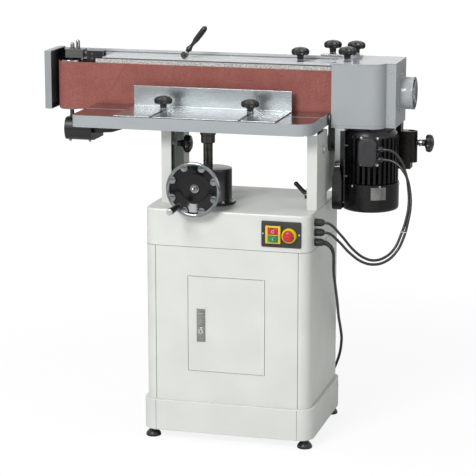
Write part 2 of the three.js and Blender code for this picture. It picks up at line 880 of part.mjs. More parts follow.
// The bracket's side view: it leaves the channel, rises to the pivot boss and drops straight behind it.
function bracketShape() {
  const shape = new THREE.Shape();
  const bossStart = THREE.MathUtils.degToRad(pivotBossStart);
  const bossEnd = THREE.MathUtils.degToRad(pivotBossEnd);
  shape.moveTo(uprightBack - uprightWall, bracketBottom);
  shape.lineTo(bracketBack, bracketBottom);
  shape.lineTo(bracketBack, pivotZ);
  shape.lineTo(pivotY + pivotBossRadius * Math.cos(bossStart),
    pivotZ + pivotBossRadius * Math.sin(bossStart));
  shape.absarc(pivotY, pivotZ, pivotBossRadius, bossStart, bossEnd, false);
  shape.quadraticCurveTo(pivotY - pivotBossRadius * twice, pivotZ + pivotBossRadius * half,
    uprightBack - uprightWall, bracketShoulder);
  return shape;
}

// The curved slot that the tilt clamp's stud runs in.
function slotShape(radius, width, start, sweep) {
  const steps = 12;
  const points = [];
  for (let i = 0; i <= steps; i += 1) points.push(polar(radius + width * half, start - (sweep * i) / steps));
  for (let i = steps; i >= 0; i -= 1) points.push(polar(radius - width * half, start - (sweep * i) / steps));
  return polygon(points);
}

function upright(outer, inward) {
  const wall = outer + inward * uprightWall;
  const open = outer + inward * uprightWidth;
  const skin = outer + inward * bracketThickness;
  const span = (a, b) => [Math.min(a, b), Math.max(a, b)];
  const post = cut(
    block(span(outer, open), [uprightFront, uprightBack], [cabinetTop + seatGap, uprightTop]),
    block(span(wall, open + inward * overcut), [uprightFront + uprightWall, uprightBack - uprightWall],
      [cabinetTop + seatGap + uprightWall, uprightTop + overcut]),
  );
  const plate = cut(
    pull(bracketShape(), 'x', ...span(outer, skin)),
    pull(slotShape(tiltSlotRadius, tiltSlotWidth, tiltSlotStart, tiltSlotSweep), 'x',
      Math.min(outer, skin) - overcut, Math.max(outer, skin) + overcut),
  );
  const pinEnd = outer - inward * (armClearance + armThickness + overcut);
  const boltHead = rod('x', [guideY, guideBoltZ], guideBoltRadius * twice,
    ...span(outer, outer - inward * overcut));
  const bolt = rod('x', [guideY, guideBoltZ], guideBoltRadius, ...span(outer, open));
  const pin = rod('x', [pivotY, pivotZ], pivotPinRadius, ...span(pinEnd, skin + inward * overcut));
  return join(post, plate, pin, bolt, boltHead);
}
const barHole = block([guideBarRightX - runGap, guideBarRightX + guideBarThickness + runGap],
  [guideBarSides[0] - runGap, guideBarSides[1] + runGap], [cabinetTop, cabinetTop + uprightWall + overcut]);
const leverStud = rod('x', [guideY, guideLeverZ], guideBoltRadius, rightUprightOuter - uprightWidth,
  rightUprightOuter);
add('upright_left', upright(leftUprightOuter, 1), whitePaint);
add('upright_right', join(cut(upright(rightUprightOuter, -1), barHole), leverStud), whitePaint);

// Lift: a jack case on the cabinet, a bevel gear turned by the handwheel, and the column it drives.

add('jack_case', cut(
  turned([
    [0, 0], [jackFlangeRadius, 0], [jackFlangeRadius, jackFlangeHeight], [jackRadius, jackFlangeHeight],
    [jackRadius, jackTop - cabinetTop - jackChamfer], [jackRadius - jackChamfer, jackTop - cabinetTop],
    [0, jackTop - cabinetTop],
  ], '+z', [jackX, liftY, cabinetTop + seatGap]),
  rod('z', [liftX, liftY], columnRadius + seatGap, cabinetTop - overcut, jackTop + overcut, roundSides),
  rod('z', [liftX, liftY], gearRoomRadius, gearRoomBottom, gearRoomTop, roundSides),
  rod('y', [liftX, wheelZ], wheelShaftRadius + seatGap, liftY, liftY - jackFlangeRadius - overcut),
), blackPaint);

const columnBore = columnRadius * half;
add('lift_column', cut(
  join(
    rod('z', [liftX, liftY], columnRadius, columnBottom, tableTop - tableEdge, roundSides),
    turned([
      [0, 0], [collarRadius - overcut * twice, 0], [collarRadius, overcut * twice],
        [collarRadius, collarHeight],
      [0, collarHeight],
    ], '+z', [liftX, liftY, tableTop - tablePlate - seatGap - collarHeight]),
  ),
  rod('z', [liftX, liftY], columnBore, columnBottom - overcut, tableTop - tableEdge - collarHeight,
    smallSides),
), darkSteel);

// A gear seen from above, its teeth as a wave of trapezoids.
function gearShape(teeth, outer, depth) {
  const shape = new THREE.Shape();
  for (let i = 0; i < teeth; i += 1) {
    gearToothShares.forEach(([turnShare, heightShare], step) => {
      const turn = ((i + turnShare) / teeth) * fullTurn;
      const radius = outer - depth + depth * heightShare;
      const place = [radius * Math.cos(turn), radius * Math.sin(turn)];
      if (i === 0 && step === 0) shape.moveTo(...place); else shape.lineTo(...place);
    });
  }
  shape.closePath();
  return shape;
}
const gearTop = wheelZ - pinionRadius - runGap;
add('lift_gear', cut(
  pull(gearShape(gearTeeth, gearRadius, gearToothDepth), 'z', gearTop - gearHeight, gearTop),
  rod('z', [0, 0], columnRadius + seatGap, gearTop - gearHeight - overcut, gearTop + overcut, roundSides),
), steel, [liftX, liftY, 0]);

// Handwheel: a polished rim with finger lobes, a dished web behind them, and a shaft into the jack case.

const lobePitch = fullTurn / wheelLobes;
const lobes = Array.from({ length: wheelLobes }, (_, i) => {
  const turn = i * lobePitch + lobePitch * half;
  const reach = wheelRadius - wheelRimRadius - wheelLobeRadius * half;
  return rod('y', [reach * Math.cos(turn), reach * Math.sin(turn)], wheelLobeRadius, wheelRimRadius,
    -wheelRimRadius * half, tinySides);
});
const rimProfile = Array.from({ length: rimSteps + 1 }, (_, i) => {
  const turn = (i / rimSteps) * fullTurn;
  return [wheelRadius - wheelRimRadius + wheelRimRadius * Math.cos(turn), wheelRimRadius * Math.sin(turn)];
});
const shaftEnd = liftY - columnRadius - overcut;
const gripAt = [gripReach * Math.cos(THREE.MathUtils.degToRad(gripAngle)),
  gripReach * Math.sin(THREE.MathUtils.degToRad(gripAngle))];
add('handwheel', join(
  turned(rimProfile, '-y', [0, 0, 0], rimSides),
  turned([
    [0, -wheelDish - wheelWeb], [wheelHubRadius, -wheelDish - wheelWeb],
      [wheelRadius * half, -wheelDish - wheelWeb],
    [wheelRadius - wheelRimRadius, -wheelWeb], [wheelRadius - wheelRimRadius, 0],
    [wheelRadius * half, -wheelDish], [0, -wheelDish],
  ], '-y', [0, 0, 0]),
  ...lobes,
  turned([
    [0, -wheelDish - wheelHubLength], [wheelHubRadius, -wheelDish - wheelHubLength],
    [wheelHubRadius, -wheelDish + overcut], [wheelShaftRadius + overcut, -wheelDish + overcut],
    [wheelShaftRadius, -overcut], [0, -overcut],
  ], '-y', [0, 0, 0]),
  rod('y', [0, 0], wheelShaftRadius, 0, shaftEnd - wheelPlaneY - overcut),
  turned([
    [0, 0], [pinionRadius, 0], [pinionRadius, overcut], [wheelShaftRadius * half, pinionRadius],
    [0, pinionRadius],
  ], '+y', [0, shaftEnd - wheelPlaneY - pinionRadius, 0], smallSides),
  rod('y', gripAt, gripPinRadius * twice, 0, -wheelRimRadius, tinySides),
  rod('y', gripAt, gripPinRadius, 0, -wheelRimRadius - gripLength * half, tinySides),
), chrome, [liftX, wheelPlaneY, wheelZ]);
add('crank_grip', cut(
  turned([
    [0, 0],
    ...gripRingShares.map(([radiusShare, lengthShare]) => [gripRadius * radiusShare,
      gripLength * lengthShare]),
    [0, gripLength],
  ], '-y', [0, 0, 0], smallSides),
  rod('y', [0, 0], gripPinRadius + seatGap, overcut, -gripLength * half - overcut, tinySides),
), blackPlastic, [liftX + gripAt[0], wheelPlaneY - wheelRimRadius - seatGap, wheelZ + gripAt[1]]);

// Table: a ribbed iron casting with a T-slot, carried by the column and steered by two slotted bars.

const tableUnder = tableTop - tableEdge;
const plateUnder = tableTop - tablePlate;
const pocketRows = [
  [tableFront + tableWall, slotY - slotBoss * half],
  [slotY + slotBoss * half, tableBack - tableWall],
];
const bossLeft = liftX - collarRadius - tableRib;
const bossRight = liftX + collarRadius + tableRib;
const pocketColumns = [
  [tableLeft + tableWall, (tableLeft + leftUprightOuter) * half],
  [(tableLeft + leftUprightOuter) * half + tableRib, guideBarLeftX - tableRib],
  [guideBarLeftX + guideBarThickness + tableRib, bossLeft],
  [bossRight, guideBarRightX - tableRib],
];
const pockets = pocketRows.flatMap((row) => pocketColumns.map((column) =>
  block(column, row, [tableUnder - overcut, plateUnder])));
const barBottomLeft = guideBoltZ - tableTravel - guideBarMargin;
const barBottomRight = guideLeverZ - tableTravel - guideBarMargin;
const barSlot = (x, boltZ) => pull(roundedRect(guideY - guideBoltRadius - seatGap,
  guideY + guideBoltRadius + seatGap,
  boltZ - tableTravel - guideBoltRadius - runGap, boltZ + guideBoltRadius + runGap, guideBoltRadius),
'x', x - overcut, x + guideBarThickness + overcut, 3);
const tableBody = cut(
  pull(roundedRect(tableLeft, tableRight, tableFront, tableBack,
    [tableCornerSmall, tableCornerLarge, tableCornerRear, tableCornerRear]), 'z', tableUnder, tableTop),
  ...pockets,
  rod('z', [liftX, liftY], collarRadius + seatGap, tableUnder - overcut, plateUnder, roundSides),
  block([tableLeft - overcut, tableRight + overcut], [slotY - slotNeck * half, slotY + slotNeck * half],
    [tableTop - slotNeckDepth - overcut, tableTop + overcut]),
  block([tableLeft - overcut, tableRight + overcut], [slotY - slotFoot * half, slotY + slotFoot * half],
    [tableTop - slotNeckDepth - slotFootDepth, tableTop - slotNeckDepth]),
);
add('table', cut(
  join(
    tableBody,
    block([guideBarLeftX, guideBarLeftX + guideBarThickness], guideBarSides,
      [barBottomLeft, tableUnder + overcut]),
    block([guideBarRightX, guideBarRightX + guideBarThickness], guideBarSides,
      [barBottomRight, tableUnder + overcut]),
  ),
  barSlot(guideBarLeftX, guideBoltZ),
  barSlot(guideBarRightX, guideBoltZ),
  barSlot(guideBarRightX, guideLeverZ),
), castIron);

// Star knobs: a lobed head on a round stem, domed on top.

// Radius and height of each ring of the knob, and how much of the lobes it shows.
const knobRings = [
  [knobStemRadius, 0, 0],
  [knobStemRadius, knobStemHeight, 0],
  [knobRadius * knobUnderShare, knobStemHeight, 1],
  [knobRadius, knobStemHeight + knobHeadHeight * half, 1],
  [knobRadius * knobTopShare, knobStemHeight + knobHeadHeight, 1],
  [knobStemRadius, knobStemHeight + knobHeadHeight + knobDome * half, 0],
];
function starKnob() {
  const steps = knobLobes * knobLobeSteps;
  const positions = [0, 0, 0];
  const index = [];
  for (const [radius, height, lobed] of knobRings) {
    for (let i = 0; i < steps; i += 1) {
      const turn = (i / steps) * fullTurn;
      const reach = radius * (1 - lobed * knobLobeDepthShare * half * (1 - Math.cos(knobLobes * turn)));
      positions.push(reach * Math.cos(turn), reach * Math.sin(turn), height);
    }
  }
  positions.push(0, 0, knobStemHeight + knobHeadHeight + knobDome * half);
  const topPoint = knobRings.length * steps + 1;
  for (let i = 0; i < steps; i += 1) {
    const next = (i + 1) % steps;
    index.push(0, 1 + next, 1 + i);
    for (let ring = 0; ring < knobRings.length - 1; ring += 1) {
      const low = 1 + ring * steps;
      const high = low + steps;
      index.push(low + i, low + next, high + next, low + i, high + next, high + i);
    }
    const last = topPoint - steps;
    index.push(last + i, last + next, topPoint);
  }
  const geometry = new THREE.BufferGeometry();
  geometry.setAttribute('position', new THREE.BufferAttribute(new Float32Array(positions), 3));
  geometry.setIndex(index);
  return solidOf(geometry);
}
const standardKnob = starKnob();

const clampFace = leftUprightOuter + uprightWidth + seatGap;
add('guide_knob_left', standardKnob, blackPlastic, [clampFace, guideY, guideBoltZ], [0, quarterTurn, 0]);

// Clamping lever on the right-hand guide: a hub and a bent, swelling arm.
const leverHub = rightUprightOuter - uprightWidth - seatGap;
const clampArm = new THREE.CatmullRomCurve3(clampArmShares.map(([out, up]) =>
  new THREE.Vector3(-knobStemRadius * out, 0, knobStemRadius * up)));
const clampSection = new THREE.Shape().absarc(0, 0, knobStemRadius * clampSectionShare, 0, fullTurn);
add('guide_lever_right', join(
  rod('x', [0, 0], knobStemRadius, -knobStemRadius * twice, 0),
  solidOf(new THREE.ExtrudeGeometry(clampSection, { steps: 8, curveSegments: 5, extrudePath: clampArm })),
  solidOf(new THREE.SphereGeometry(knobStemRadius * clampTipShare, tinySides, tinySides)
    .translate(...clampArm.getPoint(1).toArray())),
), blackPlastic, [leverHub, guideY, guideLeverZ]);

// Fence: one folded plate with two open slots, held by two star knobs in the table's T-slot.

const fenceTop = tableTop + seatGap + fenceHeight;
add('fence', cut(
  join(
    block([fenceLeft, fenceRight], [fenceFront, fenceFaceY],
      [tableTop + seatGap, tableTop + seatGap + fenceSheet]),
    block([fenceLeft, fenceRight], [fenceFaceY - fenceSheet, fenceFaceY], [tableTop + seatGap, fenceTop]),
    block([fenceLeft, fenceRight], [fenceFaceY - fenceSheet, fenceFaceY + fenceLip],
      [fenceTop - fenceSheet, fenceTop]),
  ),
  ...fenceKnobXs.map((x) => pull(roundedRect(x - fenceSlotWidth * half, x + fenceSlotWidth * half,
    fenceFront - overcut, fenceSlotEnd, [0, 0, fenceSlotWidth * half - seatGap,
      fenceSlotWidth * half - seatGap]), 'z',
  tableTop - overcut, tableTop + fenceSheet + overcut, 3)),
), greyPaint);
const fenceSeat = tableTop + fenceSheet + seatGap * twice;
const tableStud = rod('z', [0, 0], fenceSlotWidth * half - runGap, overcut - fenceSheet - slotNeckDepth,
  overcut, tinySides);
const fenceKnob = join(standardKnob, tableStud);
['fence_knob_left', 'fence_knob_right'].forEach((name, i) =>
  add(name, fenceKnob, blackPlastic, [fenceKnobXs[i], slotY, fenceSeat]));

// Head frame: a welded beam between the belt's two runs, the tilt arms and the block that guides the idler.

const platenFace = beltFront + beltThickness + seatGap;
const beamFront = platenFace + platenThickness + seatGap;
const beamRight = rightUprightOuter + armClearance + armThickness;
const armShape = (topBack) => {
  const shape = new THREE.Shape();
  const studAt = polar(tiltSlotRadius, tiltStudAngle);
  shape.moveTo(beamFront + overcut, beamBottom + beamWall);
  shape.lineTo(beamFront + overcut, beamBottom - beamWall);
  shape.quadraticCurveTo(beamFront + pivotBossRadius, pivotZ, studAt[0] - armTipDepth,
    studAt[1] - armTipDepth * half);
  shape.absarc(studAt[0], studAt[1], armTipDepth, Math.PI, fullTurn, false);
  shape.quadraticCurveTo(pivotY + armTipDepth, pivotZ - pivotBossRadius, pivotY + pivotBossRadius, pivotZ);
  shape.quadraticCurveTo(pivotY + pivotBossRadius, pivotZ + armTipDepth, topBack, armShoulder);
  shape.lineTo(topBack, beamBottom + beamWall);
  return shape;
};
const studCentre = polar(tiltSlotRadius, tiltStudAngle);
const arm = (from, to, topBack) => cut(
  pull(armShape(topBack), 'x', from, to),
  rod('x', [pivotY, pivotZ], pivotPinRadius + seatGap, from - overcut, to + overcut),
);
const leftArmX = leftUprightOuter - armClearance - armThickness;
add('head_frame', cut(
  join(
    block([beamLeft, beamRight], [beamFront, beamBack], [beamBottom, beamTop]),
    block([trackBlockLeft, beamLeft + overcut], [trackBlockFront, trackBlockBack],
      [trackBlockBottom, trackBlockTop]),
    arm(leftArmX, leftArmX + armThickness, armTopBacks.left),
    arm(beamRight - armThickness, beamRight, armTopBacks.right),
    rod('x', studCentre, tiltSlotWidth * half - runGap, rightUprightOuter - bracketThickness - overcut,
      beamRight),
    block([beamRight - armThickness, beamRight + tongueReach], [tongueFront, tongueBack],
      [housingBottom + housingBase + seatGap, beamBottom + beamWall]),
  ),
  block([beamLeft + beamWall, beamRight + overcut], [beamFront + beamWall, beamBack - beamWall],
    [beamBottom + beamWall, beamTop - beamWall]),
  rod('x', [idlerRadius + beltFront, (carriageBottom + carriageTop) * half], carriageRodRadius + seatGap,
    trackBlockLeft - overcut, beamLeft + overcut * twice),
), blackPaint);
add('tilt_wing_knob', join(
  rod('x', [0, 0], wingHub, 0, wingDepth * half),
  pull(roundedRect(-wingSpan, wingSpan, -wingHub * half, wingHub * half, wingHub * wingCornerShare), 'x',
    wingDepth * wingHubShare, wingDepth),
), blackPlastic, [beamRight + seatGap, ...studCentre]);

add('platen', block([platenLeft, housingLeft - runGap], [platenFace, platenFace + platenThickness],
  [beltBottom, platenTop]), graphite);

// Rear guard: one folded sheet with a ribbed tray over the beam and a rolled lip along the back.

const trayUnder = trayTop - sheet;
const guardRight = housingLeft - runGap;
add('rear_guard', join(
  block([trayLeft, guardRight], [beamFront, guardBack - sheet + seatGap], [trayUnder, trayTop]),
  ...trayRibYs.map((y) => pull(roundedRect(y - trayRib, y + trayRib, trayTop - seatGap,
    trayTop + trayRib * half, seatGap),
    'x', trayLeft + trayRibXInset, guardRight - trayRibXInset, 2)),
  block([coverRight + seatGap, guardRight], [guardBack - sheet, guardBack], [beltBottom, guardTop]),
  block([coverRight + seatGap, guardRight], [guardBack - guardLip, guardBack], [guardTop - sheet, guardTop]),
  block([coverRight + seatGap, guardRight], [guardBack - guardLip, guardBack - guardLip + sheet],
    [guardTop - guardLip, guardTop]),
  block([trayLeft, guardRight], [guardBack - guardLip - sheet, guardBack - sheet + seatGap],
    [trayUnder - guardLip, trayUnder + seatGap]),
  block([trayLeft, beamRight - beamWall], [beamFront + beamWall, beamFront + beamWall + sheet],
    [beamTop + seatGap, trayUnder + seatGap]),
  block([trayLeft, beamRight - beamWall], [beamBack - beamWall - sheet, beamBack - beamWall],
    [beamTop + seatGap, trayUnder + seatGap]),
), greyPaint);

add('end_cover', cut(
  pull(roundedRect(coverFront, guardBack, coverBottom, coverTop, overcut), 'x', coverLeft, coverRight, 3),
  pull(roundedRect(coverFront + sheet, guardBack - sheet, coverBottom + sheet, coverTop - sheet,
    overcut * half), 'x',
    coverLeft + sheet, coverRight + overcut, 3),
), greyPaint);

// Drum housing: a front cover that bulges round the drum, a side and back with the dust outlet, and a lid.

// The plan of the housing: its front runs straight, turns round the drum, then steps to a flange.
function housingPlan() {
  const radius = housingFlangeY - housingFront;
  const shape = new THREE.Shape();
  shape.moveTo(housingLeft, housingFront);
  shape.lineTo(housingFlangeX - radius, housingFront);
  shape.absarc(housingFlangeX - radius, housingFlangeY, radius, -quarterTurn, 0, false);
  shape.lineTo(housingRight, housingFlangeY);
  shape.lineTo(housingRight, housingBack);
  shape.lineTo(housingLeft, housingBack);
  return shape;
}
const coverShape = () => {
  const radius = housingFlangeY - housingFront;
  const shape = new THREE.Shape();
  shape.moveTo(housingLeft, housingFront);
  shape.lineTo(housingFlangeX - radius, housingFront);
  shape.absarc(housingFlangeX - radius, housingFlangeY, radius, -quarterTurn, 0, false);
  shape.lineTo(housingRight, housingFlangeY);
  shape.lineTo(housingRight, housingFlangeY + sheet);
  shape.lineTo(housingFlangeX - sheet, housingFlangeY + sheet);
  shape.absarc(housingFlangeX - radius, housingFlangeY, radius - sheet, 0, -quarterTurn, true);
  shape.lineTo(housingLeft + sheet, housingFront + sheet);
  shape.lineTo(housingLeft + sheet, beltFront - runGap * twice);
  shape.lineTo(housingLeft, beltFront - runGap * twice);
  return shape;
};
add('drum_cover', pull(coverShape(), 'z', housingBottom + housingBase + seatGap, housingTop), greyPaint);

const flangeBack = housingFlangeY + sheet + seatGap;
const outletRing = housingRight + outletRingDepth;
const drumY = beltFront + drumRadius;
add('drum_housing', cut(
  join(
    block([housingRight - sheet, housingRight], [flangeBack, housingBack], [housingBottom, housingTop]),
    block([housingLeft, housingRight], [housingBack - sheet, housingBack], [housingBottom, housingTop]),
    pull(housingPlan(), 'z', housingBottom, housingBottom + housingBase),
    rod('x', [outletY, outletZ], outletRingRadius, housingRight - sheet, outletRing, roundSides),
    rod('x', [outletY, outletZ], outletRadius, housingRight - sheet, outletEnd, roundSides),
  ),
  rod('x', [outletY, outletZ], outletRadius - outletWall, housingRight - sheet - overcut,
    outletEnd + overcut, roundSides),
  rod('z', [drumX, drumY], motorShaftRadius + runGap * twice, housingBottom - overcut,
    housingBottom + housingBase + overcut),
), greyPaint);

const lidTop = housingTop + seatGap + lidThickness;
add('drum_lid', join(
  pull(housingPlan(), 'z', housingTop + seatGap, lidTop),
  block([housingLeft, strapRight], [strapFront, strapBack],
    [housingTop + seatGap * twice, strapPadTop + seatGap]),
  block([strapLeft, strapRight], [strapFront, strapBack], [strapPadTop, strapPadTop + strapThickness]),
), greyPaint);

add('knob_tray', standardKnob, blackPlastic, [...trayKnob, trayTop + seatGap]);
add('knob_lid', standardKnob, blackPlastic, [...lidKnob, lidTop + seatGap]);
['knob_strap_left', 'knob_strap_right'].forEach((name, i) =>
  add(name, standardKnob, blackPlastic, [...strapKnobs[i], strapPadTop + strapThickness + seatGap]));

// Belt and rollers. The belt is one closed band round both, drawn as two arcs and their tangents.

function band(grow) {
  const idlerY = beltFront + idlerRadius;
  const tangent = Math.asin((drumRadius - idlerRadius) / Math.hypot(drumX - idlerX, drumY - idlerY))
    + Math.atan2(drumY - idlerY, drumX - idlerX);
  const shape = new THREE.Shape();
  shape.moveTo(idlerX, beltFront - grow);
  shape.lineTo(drumX, beltFront - grow);
  shape.absarc(drumX, drumY, drumRadius + grow, -quarterTurn, quarterTurn + tangent, false);
  shape.absarc(idlerX, idlerY, idlerRadius + grow, quarterTurn + tangent, quarterTurn * thrice, false);
  return shape;
}
add('abrasive_belt', cut(
  pull(band(0), 'z', beltBottom, beltTop, 14),
  pull(band(-beltThickness), 'z', beltBottom - overcut, beltTop + overcut, 14),
), belt);

const drumFace = drumRadius - beltThickness - seatGap;
const drumBottom = beltBottom - drumOverhang;
const drumTopZ = beltTop + drumOverhang;
const drumHeight = drumTopZ - drumBottom;
add('drive_drum', turned([
  [0, motorTop + runGap - drumBottom], [motorShaftRadius, motorTop + runGap - drumBottom],
    [motorShaftRadius, 0],
  [drumFace, 0], [drumFace, drumHeight], [drumFace - rollerWall, drumHeight],
    [drumFace - rollerWall, rollerWeb],
  [motorShaftRadius * twice, rollerWeb], [motorShaftRadius * twice, drumHeight * half],
    [0, drumHeight * half],
], '+z', [drumX, drumY, drumBottom]), steel);

const idlerY = beltFront + idlerRadius;
const idlerFace = idlerRadius - beltThickness - seatGap;
const idlerHeight = beltWidth + idlerOverhang * twice;
add('idler_roller', turned([
  [idlerShaftRadius + seatGap, 0], [idlerFace, 0], [idlerFace, idlerHeight],
  [idlerFace - rollerWall * half, idlerHeight],
    [idlerFace - rollerWall * half, idlerHeight - rollerWall * fourfold],
  [idlerShaftRadius * twice, idlerHeight - rollerWall * fourfold],
  [idlerShaftRadius * twice, idlerHeight - rollerWall * thrice],
  [idlerShaftRadius + seatGap, idlerHeight - rollerWall * thrice], [idlerShaftRadius + seatGap, 0],
], '+z', [idlerX, idlerY, beltBottom - idlerOverhang]), chrome);

const carriageMid = (carriageBottom + carriageTop) * half;
const crankTop = oscWheelZ + oscCrankRadius + oscCrankOffset;
const shaftTop = carriageTop - carriageCap - oscillation - runGap;
add('idler_shaft', rod('z', [idlerX, idlerY], idlerShaftRadius, crankTop + oscillation + runGap, shaftTop,
  smallSides),
  steel);
add('idler_carriage', join(
  cut(
    block([carriageLeft, carriageRight], [idlerY - carriageDepth * half, idlerY + carriageDepth * half],
      [carriageBottom, carriageTop]),
    rod('z', [idlerX, idlerY], idlerShaftRadius + seatGap, carriageBottom - overcut,
      carriageTop - carriageCap, smallSides),
  ),
  rod('x', [idlerY, carriageMid], carriageRodRadius, carriageRight - overcut, carriageRodEnd, smallSides),
  ...carriageStuds.map(([x, top]) => turned([
    [0, -overcut], [carriageStudRadius, -overcut],
      [carriageStudRadius, top - carriageTop - carriageStudRadius],
    [carriageStudRadius * carriageStudTipShare, top - carriageTop - overcut], [0, top - carriageTop],
  ], '+z', [x, idlerY, carriageTop], tinySides)),
), darkSteel);

// Tension lever: a clevis, a leaning neck and a tapered grip, all turning on a cross pin.

const leverTilt = THREE.MathUtils.degToRad(leverLean);
add('tension_lever', join(
  turned([
    [0, 0], [leverPinRadius * twice, 0], [leverPinRadius * twice, leverBaseDepth], [0, leverBaseDepth],
  ], '+y', [0, -leverBaseDepth * half, 0], smallSides),
  solidOf(new THREE.CylinderGeometry(leverNeckRadius, leverNeckRadius, leverNeckLength, tinySides)
    .translate(0, leverNeckLength * half, 0).rotateX(quarterTurn).rotateY(leverTilt)),
  solidOf(new THREE.LatheGeometry([
    [0, 0], [leverGripRootRadius, 0],
    ...leverGripShares.map(([radiusShare, lengthShare]) =>
      [leverGripRadius * radiusShare, leverGripLength * lengthShare]),
    [0, leverGripLength],
  ].map(([r, h]) => new THREE.Vector2(r, h + leverNeckLength - overcut)), smallSides)
    .rotateX(quarterTurn).rotateY(leverTilt)),
), blackPlastic, [leverX, leverY, leverAxisZ]);

// Oscillation gear: a rounded black case hung from the beam, with the worm wheel that lifts the idler shaft.

function oscShape(inset) {
  const shape = new THREE.Shape();
  const [front, back, low, high] = [oscFront + inset, oscBack - inset, oscBottom + inset, oscTop - inset];
  const round = oscRound - inset;
  shape.moveTo(front + oscBulge + round, low);
  shape.lineTo(back, low);
  shape.lineTo(back, high);
  shape.lineTo(front + oscBulge + round, high);
  shape.quadraticCurveTo(front + oscBulge, high, front + oscBulge * half, high - round);
  shape.quadraticCurveTo(front, (low + high) * half, front + oscBulge * half, low + round);
  shape.quadraticCurveTo(front + oscBulge, low, front + oscBulge + round, low);
  return shape;
}
const gussetTop = beamBottom - seatGap;
const shaftSlot = idlerShaftRadius + runGap;
add('osc_housing', cut(
  join(
    pull(oscShape(0), 'x', oscLeft, oscRight, 5),
    pull(polygon([
      [oscRight - overcut, oscTop - oscWall], [oscRight - overcut, oscBottom + oscRound],
      [(oscRight + gussetRight) * half, oscBottom + oscRound + oscWall], [gussetRight, oscTop - oscRound],
      [gussetRight, gussetTop], [beamLeft + oscWall, gussetTop], [beamLeft + oscWall, oscTop - oscWall],
    ]), 'y', gussetBack, gussetFront),
  ),
  pull(oscShape(oscWall), 'x', oscLeft + oscWall, oscRight - oscWall, 5),
  pull(roundedRect(idlerX - shaftSlot, idlerX + carriageTravel + shaftSlot, idlerY - shaftSlot,
    idlerY + shaftSlot,
    shaftSlot - seatGap), 'z', oscTop - oscWall - overcut, oscTop + overcut),
), blackPaint);
add('osc_wheel', join(
  pull(gearShape(oscTeeth, oscWheelRadius, gearToothDepth * half), 'x', 0, oscWheelThickness),
  rod('x', [0, 0], oscCrankRadius + overcut, 0, oscRight - oscWall - seatGap - oscWheelX, smallSides),
  rod('x', [0, oscCrankOffset], oscCrankRadius, idlerX - idlerShaftRadius - oscWheelX, overcut, smallSides),
), steel, [oscWheelX, idlerY, oscWheelZ]);

// Motor: a finned body bolted by its feet to a plate under the housing, a fan cover and a terminal box.

const plateRight = motorPlateX + motorPlateThickness;
const plateTop = housingBottom - seatGap;
add('motor_plate', join(
  block([motorPlateX, plateRight], [motorPlateFront, motorPlateBack], [motorPlateBottom, plateTop]),
  block([motorPlateX, motorPlateX + motorPlateFlange],
    [motorPlateFront, motorPlateFront + motorPlateThickness],
    [motorPlateBottom, plateTop]),
  block([motorPlateX, motorPlateX + motorPlateFlange], [motorPlateFront, motorPlateBack],
    [plateTop - motorPlateThickness, plateTop]),
), greyPaint);

const finPoints = [];
for (let i = 0; i < motorFins; i += 1) {
  for (const [turnShare, depthShare] of motorFinShares) {
    const turn = ((i + turnShare) / motorFins) * fullTurn;
    const radius = motorRadius - motorFinDepth + motorFinDepth * depthShare;
    finPoints.push([drumX + radius * Math.cos(turn), drumY + radius * Math.sin(turn)]);
  }
}
const footFace = plateRight + seatGap;
const motorFeet = [-motorFootSpan, motorFootSpan].map((span) => block(
  [footFace, drumX], [drumY + span - motorFootWidth * half, drumY + span + motorFootWidth * half],
  [motorFootZ - motorFootHeight * half, motorFootZ + motorFootHeight * half],
));
const footRelief = block([footFace + motorFootThickness, drumX + overcut],
  [drumY - motorFootSpan * twice, drumY + motorFootSpan * twice],
  [motorBodyBottom - overcut, motorBellBottom + overcut]);
const finned = pull(polygon(finPoints), 'z', motorBodyBottom, motorBellBottom);
const footWeb = block([footFace, drumX], [drumY - motorFootSpan * half, drumY + motorFootSpan * half],
  [motorFootZ - motorFootHeight * half, motorFootZ + motorFootHeight * half]);
const footBridge = block([footFace, footFace + motorFootThickness],
  [drumY - motorFootSpan, drumY + motorFootSpan],
  [motorFootZ - motorFootHeight * half, motorFootZ + motorFootHeight * half]);
const fanSlotCuts = Array.from({ length: fanSlots }, (_, i) => {
  const geometry = new THREE.BoxGeometry(fanSlotLength, fanSlotWidth, fanSlotDepth * twice);
  geometry.translate(fanRadius - fanSlotLength, 0, 0);
  geometry.rotateZ((i / fanSlots) * fullTurn);
  geometry.translate(drumX, drumY, fanBottom);
  return solidOf(geometry);
});
add('motor', cut(
  join(
    finned,
    turned([
      [0, 0], [motorBellRadius, 0], [motorBellRadius, (motorTop - motorBellBottom) * half],
      [motorBellRadius - motorFinDepth, motorTop - motorBellBottom], [0, motorTop - motorBellBottom],
    ], '+z', [drumX, drumY, motorBellBottom]),
    cut(join(...motorFeet), footRelief),
    footBridge,
    footWeb,
    turned([
      [0, 0], [fanRadius - fanRound, 0], [fanRadius - fanRound * fanEdgeShare, fanRound * fanEdgeShare],
      [fanRadius, fanRound],
      [fanRadius, fanTop - fanBottom], [fanRadius - sheet, fanTop - fanBottom],
      [motorRadius - motorFinDepth * twice, fanTop - fanBottom + runGap * twice],
      [0, fanTop - fanBottom + runGap * twice],
    ], '+z', [drumX, drumY, fanBottom]),
    rod('z', [drumX, drumY], motorRadius - motorFinDepth * twice, fanTop, motorBodyBottom + overcut,
      roundSides),
  ),
  rod('z', [drumX, drumY], motorShaftRadius + runGap, motorTop - overcut, motorTop + overcut, smallSides),
  ...fanSlotCuts,
), blackPaint);

